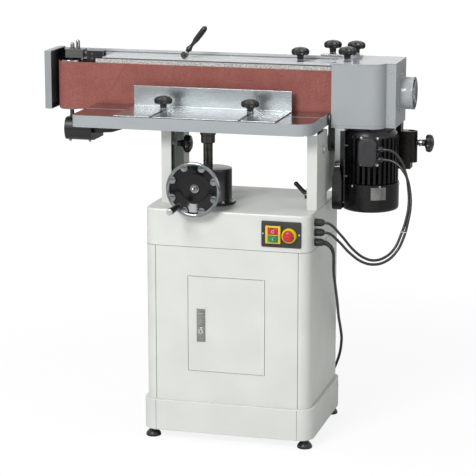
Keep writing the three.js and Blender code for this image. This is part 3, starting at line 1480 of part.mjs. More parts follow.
const chamfered = (x0, x1, z0, z1, corner) => polygon([
  [x0 + corner, z0], [x1 - corner, z0], [x1, z0 + corner], [x1, z1 - corner],
  [x1 - corner, z1], [x0 + corner, z1], [x0, z1 - corner], [x0, z0 + corner],
]);
const boxGland = glandForm(boxGlandRadius, glandBase * half, boxGlandLength, cableRadius + seatGap * twice);
add('terminal_box', cut(
  join(
    pull(chamfered(boxLeft, boxRight, boxBottom, boxTop, boxChamfer), 'y', boxBack + boxChamfer,
      boxFront + boxLidDepth),
    pull(chamfered(boxLeft - boxLidProud, boxRight + boxLidProud, boxBottom - boxLidProud,
      boxTop + boxLidProud,
      boxChamfer), 'y', boxFront + boxLidDepth, boxFront),
    ...boxGlandZs.map((z) => boxGland.translate([boxRight - seatGap, boxGlandY, z])),
  ),
  rod('z', [drumX, drumY], motorRadius + seatGap, boxBottom - boxTop + boxBottom,
    boxTop * twice - boxBottom, roundSides * twice),
), blackPaint);

// Pull handle: a bridge grip with two feet on the motor plate's front flange.

const handleBack = motorPlateFront - seatGap;
const handleFront = handleBack - handleReach;
function handleSide() {
  const shape = new THREE.Shape();
  shape.moveTo(handleBack, handleBottom);
  shape.lineTo(handleBack, handleBottom + handleBar);
  shape.lineTo(handleFront + handleBar + handleRound * half, handleBottom + handleBar);
  shape.quadraticCurveTo(handleFront + handleBar, handleBottom + handleBar, handleFront + handleBar,
    handleBottom + handleBar + handleRound * half);
  shape.lineTo(handleFront + handleBar, handleTop - handleBar - handleRound * half);
  shape.quadraticCurveTo(handleFront + handleBar, handleTop - handleBar,
    handleFront + handleBar + handleRound * half,
    handleTop - handleBar);
  shape.lineTo(handleBack, handleTop - handleBar);
  shape.lineTo(handleBack, handleTop);
  shape.lineTo(handleFront + handleRound, handleTop);
  shape.quadraticCurveTo(handleFront, handleTop, handleFront, handleTop - handleRound);
  shape.lineTo(handleFront, handleBottom + handleRound);
  shape.quadraticCurveTo(handleFront, handleBottom, handleFront + handleRound, handleBottom);
  return shape;
}
const handleBlank = pull(handleSide(), 'x', handleX - handleWidth * half, handleX + handleWidth * half, 5);
const handleFace = new THREE.Shape();
handleFace.moveTo(handleX - handleWidth * half + handleSideRound, handleBottom - overcut);
handleFace.lineTo(handleX + handleWidth * half - handleSideRound, handleBottom - overcut);
handleFace.lineTo(handleX + handleWidth * half, handleBottom + handleSideRound);
handleFace.lineTo(handleX + handleWidth * half, handleTop - handleBar * thrice);
handleFace.lineTo(handleX + handleFootWidth * half, handleTop - handleBar);
handleFace.lineTo(handleX + handleFootWidth * half, handleTop + overcut);
handleFace.lineTo(handleX - handleFootWidth * half, handleTop + overcut);
handleFace.lineTo(handleX - handleFootWidth * half, handleTop - handleBar);
handleFace.lineTo(handleX - handleWidth * half, handleTop - handleBar * thrice);
handleFace.lineTo(handleX - handleWidth * half, handleBottom + handleSideRound);
add('pull_handle', handleBlank.intersect(pull(handleFace, 'y', handleBack + overcut,
  handleFront - overcut)), blackPlastic);

// Holder for an auxiliary table: a block under the housing with a socket tube and a clamping knob.

add('aux_holder', cut(
  join(
    block([auxBlockLeft, auxX], [auxY - auxBlockWidth * half, auxY + auxBlockWidth * half],
      [auxBlockBottom, auxTop]),
    block([auxBlockLeft, housingRight], [auxY - auxBlockWidth * half, auxY + auxBlockWidth * half],
      [auxBlockBottom, housingBottom - seatGap]),
    rod('z', [auxX, auxY], auxRadius, auxBottom, auxTop, roundSides),
    rod('x', [auxY, auxKnobZ], knobStemRadius * auxStudShare, auxX, auxX + auxRadius + auxBossLength,
      smallSides),
  ),
  rod('z', [auxX, auxY], auxBore, auxBottom + overcut, auxTop + overcut, roundSides),
), darkSteel);
const auxKnobX = auxX + auxRadius + auxBossLength + seatGap;
add('aux_knob', standardKnob, blackPlastic, [auxKnobX, auxY, auxKnobZ], [0, quarterTurn, 0]);

// Cords. Each route is a list of points chosen along the photographed cable.

function tube(points, radius, sides, steps) {
  const curve = new THREE.CatmullRomCurve3(points.map((p) => new THREE.Vector3(...p)), false, 'centripetal');
  const section = new THREE.Shape();
  for (let i = 0; i < sides; i += 1) {
    const turn = (i / sides) * fullTurn;
    const place = [radius * Math.cos(turn), radius * Math.sin(turn)];
    if (i === 0) section.moveTo(...place); else section.lineTo(...place);
  }
  section.closePath();
  return weldedMesh(new THREE.ExtrudeGeometry(section, { steps, curveSegments: 1, extrudePath: curve }));
}
const glandMouth = sideX + seatGap + glandLength + seatGap;
const boxMouth = boxRight + boxGlandLength;
const upperRoute = [
  [glandMouth, 66, 700.5], [304, 66, 698], [337, 70, 667], [381, 82, 614], [412, 96, 590], [436, 110, 583],
  [462, 128, 589], [487, 146, 611], [506, 162, 655], [519, 178, 704], [523, 192, 744], [519, 204, 788],
  [508, 212, 838], [484, 216, 884], [458, 216, 903], [boxMouth, 216, 905],
];
const lowerRoute = [
  [glandMouth, 66, 669.9], [304, 66, 668], [330, 68, 648], [370, 76, 606], [405, 88, 580], [436, 102, 572],
  [466, 120, 578], [494, 138, 602], [516, 152, 648], [527, 166, 700], [531, 180, 744], [526, 192, 786],
  [516, 198, 822], [498, 203, 850], [478, 210, 866], [456, 215, 873], [boxMouth, 216, 874],
];
add('motor_cable_upper', tube(upperRoute, cableRadius, cordSides, cableSteps), rubber);
add('motor_cable_lower', tube(lowerRoute, cableRadius, cordSides, cableSteps), rubber);

// The mains lead's coil: loops that wind in on the floor, climb a layer in the half turn where they
// reverse, and
// wind out again on top.

function coilPoints() {
  const points = [];
  const total = coilLoops * coilLayers * coilSteps;
  const quarter = half * half;
  for (let i = 0; i <= total; i += 1) {
    const turn = i / coilSteps;
    const fromTurn = Math.abs(turn - coilLoops);
    const radius = coilInner + coilPitch * Math.max(fromTurn - quarter, 0);
    const climb = THREE.MathUtils.clamp((turn - coilLoops + quarter) / half, 0, 1);
    const angle = turn * fullTurn;
    points.push(new THREE.Vector3(
      coilX + radius * Math.cos(angle),
      coilY + radius * Math.sin(angle),
      leadRadius + floorGap + coilLift * (1 - Math.cos(climb * Math.PI)) * half,
    ));
  }
  return points;
}
const coilPath = coilPoints();

// A tube through listed stations, with a straight run of one diameter at each end.
function ringTube(path, radius, sides) {
  const positions = [];
  const index = [];
  const up = new THREE.Vector3(0, 0, 1);
  path.forEach((point, i) => {
    const ahead = path[Math.min(i + 1, path.length - 1)].clone().sub(path[Math.max(i - 1, 0)]).normalize();
    const across = ahead.clone().cross(up).normalize();
    const lift = across.clone().cross(ahead);
    for (let s = 0; s < sides; s += 1) {
      const turn = ((s + half) / sides) * fullTurn;
      const corner = point.clone().addScaledVector(across, radius * Math.cos(turn))
        .addScaledVector(lift, radius * Math.sin(turn));
      positions.push(corner.x, corner.y, corner.z);
    }
  });
  for (let i = 0; i < path.length - 1; i += 1) {
    for (let s = 0; s < sides; s += 1) {
      const a = i * sides + s;
      const b = i * sides + ((s + 1) % sides);
      index.push(a, a + sides, b, b, a + sides, b + sides);
    }
  }
  const last = (path.length - 1) * sides;
  for (let s = 1; s < sides - 1; s += 1) {
    index.push(0, s, s + 1);
    index.push(last, last + s + 1, last + s);
  }
  const geometry = new THREE.BufferGeometry();
  geometry.setAttribute('position', new THREE.BufferAttribute(new Float32Array(positions), 3));
  geometry.setIndex(index);
  geometry.computeVertexNormals();
  return geometry;
}
const straightRun = leadRadius * twice;
const coilStart = coilPath[0];
const coilEnd = coilPath[coilPath.length - 1];
const coilMouth = coilStart.clone().setY(coilY - straightRun);
const tailTurn = THREE.MathUtils.degToRad(tailBend);
const tailPath = Array.from({ length: tailSteps }, (_, i) => {
  const turn = ((i + 1) / tailSteps) * tailTurn;
  return new THREE.Vector3(coilEnd.x + tailRadius * (1 - Math.cos(turn)),
    coilY + tailRadius * Math.sin(turn),
    coilEnd.z);
});
const tailAhead = new THREE.Vector3(Math.sin(tailTurn), Math.cos(tailTurn), 0);
const coilTail = tailPath[tailSteps - 1].clone().addScaledVector(tailAhead, straightRun);
const coilLine = [coilMouth, ...coilPath, ...tailPath, coilTail];
add('mains_coil', ringTube(coilLine, leadRadius, coilSides), rubber);

// The lead itself, from its gland down the cabinet's side and round its back corner to the coil.
const leadRoute = [
  [glandMouth, 66, 639.3], [299.5, 66, 635.4], [308.5, 66.5, 627.9], [314.4, 68.5, 617.6], [316.5, 72, 606],
  [315.8, 80, 585], [311.5, 102, 545], [303, 170, 476], [290, 260, 405], [276, 350, 331], [271, 402, 283],
  [267, 438, 232], [250, 464, 160], [214, 478, 86], [176, 491, 32], [149, 510, 8.5], [132.5, 530, 4.9],
  [coilMouth.x, 542, coilMouth.z], [coilMouth.x, coilMouth.y - seatGap, coilMouth.z],
];
add('mains_lead', tube(leadRoute, leadRadius, cordSides, leadSteps), rubber);

// The plug: a ribbed neck, a round body and two contact pins.
const plugAt = coilTail.clone().addScaledVector(tailAhead, seatGap);
const plugFace = plugNeckLength + plugLength;
add('mains_plug', join(
  turned([
    [0, 0], [plugNeckRadius, 0], [plugNeckRadius * plugNeckShare, plugNeckLength],
    [plugRadius * plugShoulderShare, plugNeckLength + overcut],
    [plugRadius, plugNeckLength + overcut * thrice], [plugRadius, plugFace], [0, plugFace],
  ], '+y', [0, 0, 0], smallSides),
  ...[-1, 1].map((side) => rod('y', [side * plugPinSpan * half, 0], plugPinRadius, plugFace - overcut,
    plugFace + plugPinLength, tinySides)),
), blackPlastic, plugAt.toArray(), [0, 0, -tailTurn]);

// The least gap of the coil to itself, between points more than half a loop apart.
let leastGap = Infinity;
coilLine.forEach((a, i) => {
  for (let k = i + coilSteps * half; k < coilLine.length; k += 1) {
    leastGap = Math.min(leastGap, a.distanceTo(coilLine[k]) - straightRun);
  }
});
console.log(`coil: least gap to itself ${leastGap.toFixed(2)} mm`);
const lengthOf = (line) => line.slice(1).reduce((sum, point, i) => sum + point.distanceTo(line[i]), 0);
const routeLength = (points) => new THREE.CatmullRomCurve3(points.map((p) => new THREE.Vector3(...p)), false,
  'centripetal').getLength();
const leadLength = routeLength(leadRoute) + lengthOf(coilLine);
console.log(`mains lead: ${leadLength.toFixed(0)} mm with its coil, motor cables: `
  + `${routeLength(upperRoute).toFixed(0)} and ${routeLength(lowerRoute).toFixed(0)} mm`);

// Centres the machine, without its cords, over the origin.
const cordNames = ['motor_cable_upper', 'motor_cable_lower', 'mains_lead', 'mains_coil', 'mains_plug'];
const extent = new THREE.Box3();
const hardMeshes = model.children.filter((mesh) => !cordNames.includes(mesh.name));
hardMeshes.forEach((mesh) => extent.expandByObject(mesh));
const middle = extent.getCenter(new THREE.Vector3());
model.position.set(-middle.x, -middle.y, 0);
console.log(`centred by ${(-middle.x).toFixed(3)}, ${(-middle.y).toFixed(3)} mm; size `
  + extent.getSize(new THREE.Vector3()).toArray().map((v) => v.toFixed(1)).join(' x '));

export default model;
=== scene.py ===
import json

import bmesh
import bpy
import numpy as np
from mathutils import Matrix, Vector

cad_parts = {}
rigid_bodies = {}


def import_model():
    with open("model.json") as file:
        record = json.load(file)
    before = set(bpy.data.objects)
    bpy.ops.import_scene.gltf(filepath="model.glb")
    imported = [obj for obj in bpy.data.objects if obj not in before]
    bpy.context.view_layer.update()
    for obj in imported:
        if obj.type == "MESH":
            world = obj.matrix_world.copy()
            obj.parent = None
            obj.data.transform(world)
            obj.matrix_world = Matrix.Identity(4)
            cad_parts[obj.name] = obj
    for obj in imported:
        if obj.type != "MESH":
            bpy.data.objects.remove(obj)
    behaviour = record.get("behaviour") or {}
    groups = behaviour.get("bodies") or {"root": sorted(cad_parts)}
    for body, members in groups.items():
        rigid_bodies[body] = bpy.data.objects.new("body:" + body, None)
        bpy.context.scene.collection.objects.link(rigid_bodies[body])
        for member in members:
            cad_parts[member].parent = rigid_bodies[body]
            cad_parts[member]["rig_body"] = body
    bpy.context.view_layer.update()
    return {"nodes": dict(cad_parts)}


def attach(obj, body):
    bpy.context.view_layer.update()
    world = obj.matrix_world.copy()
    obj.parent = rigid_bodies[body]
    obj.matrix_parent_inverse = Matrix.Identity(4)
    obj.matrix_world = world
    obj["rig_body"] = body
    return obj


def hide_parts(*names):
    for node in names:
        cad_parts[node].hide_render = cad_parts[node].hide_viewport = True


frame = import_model()
nodes = frame["nodes"]


# The set
#
# A plain pale studio: a white floor that runs out of sight, one large soft lamp high on the left of the
# camera, a weak one on the right and one overhead. The camera stands where the photograph's did, about six
# metres in front.

SHIFT = np.array((55.1, -159.6, 0.0))


def metres(points):
    """Points in mm, measured from the middle of the cabinet's front at floor level, as metres in the row
    frame: (point + shift) / 1000."""
    return (np.asarray(points, float) + SHIFT) / 1000


def linear(code):
    """An sRGB hex code as linear red, green, blue and 1: c / 12.92 up to 0.04045, and ((c + 0.055) / 1.055)
    to the power 2.4 above."""
    c = np.array([int(code[i:i + 2], 16) for i in (0, 2, 4)]) / 255
    return (*np.where(c <= 0.04045, c / 12.92, ((c + 0.055) / 1.055) ** 2.4), 1.0)


def add(tree, kind, inputs=None, **settings):
    """Add one shader node: settings go on the node, and each input is a number, a colour or another node's
    output."""
    made = tree.nodes.new("ShaderNode" + kind)
    for name, value in settings.items():
        setattr(made, name, value)
    for name, value in (inputs or {}).items():
        if isinstance(value, bpy.types.NodeSocket):
            tree.links.new(value, made.inputs[name])
        else:
            made.inputs[name].default_value = value
    return made


# The photograph's camera as it was fitted: lens and sensor in mm, the point looked at in mm, and the way and
# the distance in metres back from it.
LENS, SENSOR, AIM = 151.41, 36, (37.0864, 0, 653.0944)
BACKWARDS, DISTANCE = (0.25347, -0.94267, 0.21709), 6.04881
camera_data = bpy.data.cameras.new("camera")
camera_data.lens, camera_data.sensor_width, camera_data.clip_end = LENS, SENSOR, 200
camera = bpy.data.objects.new("camera", camera_data)
aim = Vector(metres(AIM))
camera.location = aim + DISTANCE * Vector(BACKWARDS)
camera.rotation_euler = (aim - camera.location).to_track_quat("-Z", "Y").to_euler()
bpy.context.scene.collection.objects.link(camera)
bpy.context.scene.camera = camera

LAMPS_AIM = (0, 0, 0.75)
for name, place, size, power in (
    ("key_lamp", (-1.2, -4.6, 4.0), 2.2, 200),
    ("fill_lamp", (4.2, -2.6, 2.0), 2.2, 16),
    ("top_lamp", (-0.4, 0.2, 4.6), 2.8, 42),
):
    lamp = bpy.data.lights.new(name, "AREA")
    lamp.shape, lamp.size, lamp.energy = "DISK", size, power
    stand = bpy.data.objects.new(name, lamp)
    stand.location = place
    stand.rotation_euler = (Vector(LAMPS_AIM) - stand.location).to_track_quat("-Z", "Y").to_euler()
    bpy.context.scene.collection.objects.link(stand)

world = bpy.data.worlds.new("studio")
world.use_nodes = True
bpy.context.scene.world = world
sky = world.node_tree
sky.nodes.clear()
ray = add(sky, "LightPath")
shown = add(sky, "Math", {0: ray.outputs["Is Camera Ray"], 1: ray.outputs["Is Glossy Ray"]}, operation="ADD")
shown = add(sky, "Math", {0: shown.outputs[0], 1: ray.outputs["Is Transmission Ray"]}, operation="ADD",
            use_clamp=True)
room = add(sky, "Background", {"Color": linear("f7f6f2"), "Strength": 0.3})
white = add(sky, "Background", {"Color": linear("ffffff"), "Strength": 1.0})
both = add(sky, "MixShader", {0: shown.outputs[0], 1: room.outputs[0], 2: white.outputs[0]})
add(sky, "OutputWorld", {"Surface": both.outputs[0]})
bpy.context.scene.view_settings.view_transform = "Standard"

FLOOR_REACH = 60
floor_mesh = bpy.data.meshes.new("floor")
corners = [(x * FLOOR_REACH, y * FLOOR_REACH, 0) for x, y in ((-1, -1), (1, -1), (1, 1), (-1, 1))]
floor_mesh.from_pydata(corners, [], [(0, 1, 2, 3)])
floor = bpy.data.objects.new("floor", floor_mesh)
bpy.context.scene.collection.objects.link(floor)
# White studio vinyl: what the camera sees of it is lifted to white, with some of the machine's shadow left.
vinyl = bpy.data.materials.new("studio_vinyl")
vinyl.use_nodes = True
tree = vinyl.node_tree
tree.nodes.clear()
ray = add(tree, "LightPath")
away = add(tree, "VectorMath", {0: add(tree, "TexCoord").outputs["Object"]}, operation="LENGTH")
share = add(tree, "MapRange", {"Value": away.outputs["Value"], "From Min": 1.0, "From Max": 3.2,
                               "To Min": 0.82, "To Max": 1.0})
seen = add(tree, "Math", {0: ray.outputs["Is Camera Ray"], 1: share.outputs[0]}, operation="MULTIPLY")
matt = add(tree, "BsdfDiffuse", {"Color": linear("f2f3f4")})
glow = add(tree, "Emission", {"Color": linear("ffffff"), "Strength": 1.06})
mixed = add(tree, "MixShader", {0: seen.outputs[0], 1: matt.outputs[0], 2: glow.outputs[0]})
add(tree, "OutputMaterial", {"Surface": mixed.outputs[0]})
floor_mesh.materials.append(vinyl)


# The cables
#
# Two black PVC motor cables loop from the cabinet's glands to the motor's terminal box, clear of everything
# while the head stands upright. The mains lead drops down the cabinet's side and round its back corner; what
# the photograph doesn't show of it lies coiled behind the cabinet, with its moulded plug.

CABLE, LEAD = 8.4, 9.0
# A cloudy finish goes from its one value to its other across this middle part of a noise texture's 0 to 1.
CLOUD_FROM, CLOUD_TO = 0.35, 0.65


def begin(name, colour, roughness, metallic=0.0, **sockets):
    """Start a finish: a material whose shader has its own sockets set. Gives the material, its tree, shader
    and Object coordinates."""
    material = bpy.data.materials.new(name)
    material.use_nodes = True
    tree = material.node_tree
    shader = tree.nodes["Principled BSDF"]
    shader.inputs["Base Color"].default_value = linear(colour)
    shader.inputs["Roughness"].default_value = roughness
    shader.inputs["Metallic"].default_value = metallic
    for socket, value in sockets.items():
        shader.inputs[socket.replace("_", " ")].default_value = value
    return material, tree, shader, add(tree, "TexCoord").outputs["Object"]


def relief(tree, shader, height, depth_mm):
    """Feed a 0 to 1 height into the shader's normal as a relief that is depth_mm deep."""
    bump = add(tree, "Bump", {"Height": height, "Strength": 1.0, "Distance": depth_mm / 1000})
    tree.links.new(bump.outputs[0], shader.inputs["Normal"])


def mottle(tree, shader, coords, socket, size_mm, low, high):
    """Let a cloudy pattern of size_mm spots swing one socket from low to high, two numbers or colours."""
    cloud = add(tree, "TexNoise", {"Vector": coords, "Scale": 1000 / size_mm, "Detail": 3.0})
    if isinstance(low, str):
        spread = add(tree, "ValToRGB", {0: cloud.outputs[0]})
        for stop, place, colour in zip(spread.color_ramp.elements, (CLOUD_FROM, CLOUD_TO), (low, high)):
            stop.position, stop.color = place, linear(colour)
    else:
        spread = add(tree, "MapRange", {"Value": cloud.outputs[0], "From Min": CLOUD_FROM,
                                        "From Max": CLOUD_TO, "To Min": low, "To Max": high})
    tree.links.new(spread.outputs[0], shader.inputs[socket])
    return cloud.outputs[0]


def clouded(name, colour, roughness, tones, glosses, depth_mm, metallic=0.0):
    """A finish in clouds: `tones` holds a size in mm and two colours, or nothing, and `glosses` a size in mm
    and two roughnesses, whose clouds are also a relief that is depth_mm deep."""
    material, tree, shader, coords = begin(name, colour, roughness, metallic)
    if tones:
        mottle(tree, shader, coords, "Base Color", *tones)
    relief(tree, shader, mottle(tree, shader, coords, "Roughness", *glosses), depth_mm)
    return material


# PVC cable sheath, extruded and slightly dusty: dark grey with a soft long highlight, and a faint wrinkle
# where it bends.
pvc = clouded("extruded_pvc_sheath", "1f1f20", 0.3, (30, "1a1a1b", "262627"), (40, 0.26, 0.38), 0.05)

# The three glands stand above each other on the cabinet's wall; each cable's way starts at its gland's mouth.
GLAND_Y, WALL_X, MOUTH_X = 66, 260.3, 289.6
UPPER_Z, LOWER_Z, LEAD_Z = 700.5, 669.9, 639.3
UPPER = [(MOUTH_X, GLAND_Y, UPPER_Z), (304, GLAND_Y, 698), (337, 70, 667), (381, 82, 614), (412, 96, 590),
         (436, 110, 583), (462, 128, 589), (487, 146, 611), (506, 162, 655), (519, 178, 704), (523, 192, 744),
         (519, 204, 788), (508, 212, 838), (484, 216, 884), (458, 216, 903), (437, 216, 905)]
LOWER = [(MOUTH_X, GLAND_Y, LOWER_Z), (304, GLAND_Y, 668), (330, 68, 648), (370, 76, 606), (405, 88, 580),
         (436, 102, 572), (466, 120, 578), (494, 138, 602), (516, 152, 648), (527, 166, 700), (531, 180, 744),
         (526, 192, 786), (516, 198, 822), (498, 203, 850), (478, 210, 866), (456, 215, 873), (437, 216, 874)]
LEADWAY = [(MOUTH_X, GLAND_Y, LEAD_Z), (299.5, GLAND_Y, 635.4), (308.5, 66.5, 627.9), (314.4, 68.5, 617.6),
           (316.5, 72, 606), (315.8, 80, 585), (311.5, 102, 545), (303, 170, 476), (290, 260, 405),
           (276, 350, 331), (271, 402, 283), (267, 438, 232), (250, 464, 160), (214, 478, 86), (176, 491, 32),
           (149, 510, 8.5), (132.5, 530, 4.9), (128.25, 542, 4.7)]
COIL_X, COIL_Y, COIL_INNER, COIL_PITCH, COIL_LIFT, COIL_LOOPS, COIL_STEPS = 60, 560, 38, 11, 13.5, 3, 16
TAIL_RADIUS, TAIL_BEND, TAIL_STEPS = 40, np.radians(48), 4


def coil_line():
    """The coil's points: the radius falls by one pitch a turn to the middle of the run and grows again, while
    the height goes up one layer as (1 - cos) / 2 across the half turn where it reverses; then an arc leads
    the tail outwards."""
    turn = np.arange(COIL_LOOPS * 2 * COIL_STEPS + 1) / COIL_STEPS
    radius = COIL_INNER + COIL_PITCH * np.maximum(np.abs(turn - COIL_LOOPS) - 0.25, 0)
    climb = np.clip((turn - COIL_LOOPS + 0.25) / 0.5, 0, 1)
    angle = turn * 2 * np.pi
    height = LEAD / 2 + 0.2 + COIL_LIFT * (1 - np.cos(climb * np.pi)) / 2
    loops = np.stack([COIL_X + radius * np.cos(angle), COIL_Y + radius * np.sin(angle), height], 1)
    mouth = [loops[0, 0], COIL_Y - LEAD, loops[0, 2]]
    bend = np.arange(1, TAIL_STEPS + 1) / TAIL_STEPS * TAIL_BEND
    tail = np.stack([loops[-1, 0] + TAIL_RADIUS * (1 - np.cos(bend)), COIL_Y + TAIL_RADIUS * np.sin(bend),
                     np.full(TAIL_STEPS, loops[-1, 2])], 1)
    end = tail[-1] + LEAD * np.array([np.sin(TAIL_BEND), np.cos(TAIL_BEND), 0])
    return np.concatenate([[mouth], loops, tail, [end]])


def cable(name, line, thick, finish, *stands_for):
    """A round cable: one smooth open spline through the listed points, thick mm across, with capped ends."""
    data = bpy.data.curves.new(name, "CURVE")
    data.dimensions, data.bevel_depth, data.bevel_resolution, data.use_fill_caps = "3D", thick / 2000, 4, True
    data.resolution_u = 5
    spline = data.splines.new("BEZIER")
    points = metres(line)
    spline.bezier_points.add(len(points) - 1)
    spline.bezier_points.foreach_set("co", points.ravel())
    spline.bezier_points.foreach_set("handle_left", points.ravel())
    spline.bezier_points.foreach_set("handle_right", points.ravel())
    for point in spline.bezier_points:
        point.handle_left_type = point.handle_right_type = "AUTO"
    piece = bpy.data.objects.new(name, data)
    data.materials.append(finish)
    bpy.context.scene.collection.objects.link(piece)
    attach(piece, "stand")
    if stands_for:
        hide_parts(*stands_for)
    return piece


upper_cable = cable("cable_to_motor_upper", UPPER, CABLE, pvc, "motor_cable_upper")
lower_cable = cable("cable_to_motor_lower", LOWER, CABLE, pvc, "motor_cable_lower")
# Natural nylon: milky, with a soft shine.
tie_nylon, tree, shader, coords = begin("natural_nylon", "d6d5cc", 0.38)
mottle(tree, shader, coords, "Base Color", 4, "cfcec4", "dedcd4")
# Its line is half a circle round each of the two cables, a little more than one turn in all.
TIE_MIDDLE, TIE_APART = np.array((514.2, 161.0, 665)), np.array((5.4, -4.4, 0))
TIE_RADIUS, TIE_THICK = 5.2, 2.6
tie_turn = np.arange(14) * np.pi / 6 + 0.1
tie_circle = np.stack([0.78 * np.cos(tie_turn) + 0.63 * np.sin(tie_turn),
                       0.78 * np.sin(tie_turn) - 0.63 * np.cos(tie_turn), 0 * tie_turn], 1)
tie_line = TIE_MIDDLE + np.sign(np.cos(tie_turn))[:, None] * TIE_APART + TIE_RADIUS * tie_circle
tie = cable("cable_tie", tie_line, TIE_THICK, tie_nylon)
lead_points = np.concatenate([LEADWAY, coil_line()])
mains_cable = cable("mains_cable", lead_points, LEAD, pvc, "mains_lead", "mains_coil")


# The cabinet
#
# Folded 3 mm sheet steel, spot welded, with its front panel set in between two seams, on a folded plinth and
# under a deeper head. All of it is powder coated off-white; the door is a folded tray, and its concealed
# hinges aren't modelled.

def show(name, mesh, finish, body, stands_for=()):
    """Put a finished mesh into the scene as a piece: its finish, the body it rides on, and the CAD
    nodes it stands for."""
    piece = bpy.data.objects.new(name, mesh)
    bpy.context.scene.collection.objects.link(piece)
    mesh.materials.clear()
    mesh.materials.append(finish)
    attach(piece, body)
    if stands_for:
        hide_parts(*stands_for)
    return piece


def smooth(mesh, sharp):
    """Shade a mesh smooth, but keep every edge that turns by more than `sharp` degrees crisp."""
    mesh.shade_smooth()
    mesh.set_sharp_from_angle(angle=np.radians(sharp))


# Points within this many metres are one point, and faces within this many radians of each other one face.
SAME_POINT, SAME_FACE = 2e-6, 0.004


def copied(node, finish, sharp=32, round_mm=0.0):
    """A copy of a CAD node that stands for it: its loose triangles merged, flat ones joined, shaded smooth,
    and its edges rounded by round_mm."""
    form = bmesh.new()
    form.from_mesh(nodes[node].data)
    bmesh.ops.remove_doubles(form, verts=form.verts, dist=SAME_POINT)
    bmesh.ops.dissolve_limit(form, angle_limit=SAME_FACE, verts=form.verts, edges=form.edges)
    mesh = bpy.data.meshes.new(node + "_skin")
    form.to_mesh(mesh)
    form.free()
    smooth(mesh, sharp)
    piece = show(node + "_skin", mesh, finish, nodes[node]["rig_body"], (node,))
    piece.modifiers.new("flat_stays_flat", "WEIGHTED_NORMAL").keep_sharp = True
    if round_mm:
        edge = piece.modifiers.new("rounded_edges", "BEVEL")
        edge.width, edge.segments = round_mm / 1000, 2
        edge.limit_method, edge.angle_limit = "ANGLE", np.radians(40)
        edge.harden_normals = True
        piece.modifiers.move(1, 0)
    return piece


def sprayed(name, colour, worn, roughness, peel_mm=2.2, depth_mm=0.02, **sockets):
    """Powder coat or sprayed enamel over steel: cloudy within a shade, with orange peel peel_mm across."""
    material, tree, shader, coords = begin(name, colour, roughness, **sockets)
    mottle(tree, shader, coords, "Base Color", 140, colour, worn)
    mottle(tree, shader, coords, "Roughness", 60, roughness * 0.88, roughness * 1.16)
    peel = add(tree, "TexNoise", {"Vector": coords, "Scale": 1000 / peel_mm, "Detail": 1.0})
    relief(tree, shader, peel.outputs[0], depth_mm)
    return material


# Off-white powder coat: satin, with the fine orange peel of a baked coat that softens every reflection.
white_coat = sprayed("white_powder_coat", "e4e7e2", "dee1dc", 0.38)
for node, rounding in (("plinth", 1.6), ("cabinet_shell", 0.0), ("cabinet_head", 1.2), ("door", 1.0)):
    copied(node, white_coat, 32, rounding)


# The feet
#
# Four screw-in levelling feet: a hard black rubber pad moulded as a dome over a steel stud, which is screwed
# up into the plinth until the dome's neck meets it.

def skin(name, grids, finish, body, stands_for=(), around=True, sharp=35):
    """One closed mesh from grids of points in mm: point (i, j) meets (i + 1, j) and (i, j + 1), and a grid
    that goes round also meets its own first column. Points that fall together at poles and seams are merged,
    and the faces are turned outwards."""
    places, faces, start = [], [], 0
    for grid in grids:
        rows, columns = grid.shape[:2]
        index = np.arange(rows * columns).reshape(rows, columns) + start
        if around:
            index = np.concatenate([index, index[:, :1]], 1)
        around_each = [index[:-1, :-1], index[:-1, 1:], index[1:, 1:], index[1:, :-1]]
        faces.append(np.stack(around_each, -1).reshape(-1, 4))
        places.append(grid.reshape(-1, 3))
        start += rows * columns
    mesh = bpy.data.meshes.new(name)
    mesh.from_pydata(metres(np.concatenate(places)), [], np.concatenate(faces).tolist())
    form = bmesh.new()
    form.from_mesh(mesh)
    bmesh.ops.remove_doubles(form, verts=form.verts, dist=1e-6)
    bmesh.ops.recalc_face_normals(form, faces=form.faces)
    form.to_mesh(mesh)
    form.free()
    smooth(mesh, sharp)
    return show(name, mesh, finish, body, stands_for)


# For each axis its two directions across and the one along it.
X, Y, Z = np.eye(3)
AXES = {"x": (Y, Z, X), "y": (X, Z, Y), "z": (X, Y, Z), "-x": (Y, Z, -X), "-y": (X, Z, -Y), "-z": (X, Y, -Z)}


def eased(line, radius):
    """Round the corners of an open line: each inner corner P becomes (1 - t)^2 A + 2 t (1 - t) P + t^2 B,
    where A and B lie up to `radius` from P towards its neighbours."""
    line = np.asarray(line, float)
    corner, before, after = line[1:-1], line[:-2], line[2:]
    sides = []
    for other in (before, after):
        gap = other - corner
        far = np.maximum(np.linalg.norm(gap, axis=1, keepdims=True), 1e-9)
        sides.append(corner + gap * np.minimum(radius / far, 0.5))
    t = np.linspace(0, 1, 4)[None, :, None]
    bend = (1 - t) ** 2 * sides[0][:, None] + 2 * t * (1 - t) * corner[:, None] + t ** 2 * sides[1][:, None]
    return np.concatenate([line[:1], bend.reshape(-1, line.shape[1]), line[-1:]])


def turned(profile, centre, axis="z", sides=40, lobes=0, depth=0.0, edges=0):
    """A lathe's surface: the profile's points (radius, height) go round the axis. `lobes` waves cut `depth`
    of the radius away between crests, and `edges` flats make the radius cos(pi/n) / cos(angle within a flat),
    times a third column of 0 to 1 in the profile."""
    profile = np.asarray(profile, float)
    u, v, w = AXES[axis]
    angle = np.linspace(0, 2 * np.pi, sides, endpoint=False)
    share = profile[:, 2:3] if profile.shape[1] > 2 else np.ones((len(profile), 1))
    radius = profile[:, :1] * (1 - share * depth * (1 - np.cos(lobes * angle)) / 2)
    if edges:
        inside = np.mod(angle, 2 * np.pi / edges) - np.pi / edges
        radius = profile[:, :1] * (1 - share * (1 - np.cos(np.pi / edges) / np.cos(inside)))
    out = np.cos(angle)[:, None] * u + np.sin(angle)[:, None] * v
    return np.asarray(centre, float) + radius[..., None] * out + profile[:, 1, None, None] * w


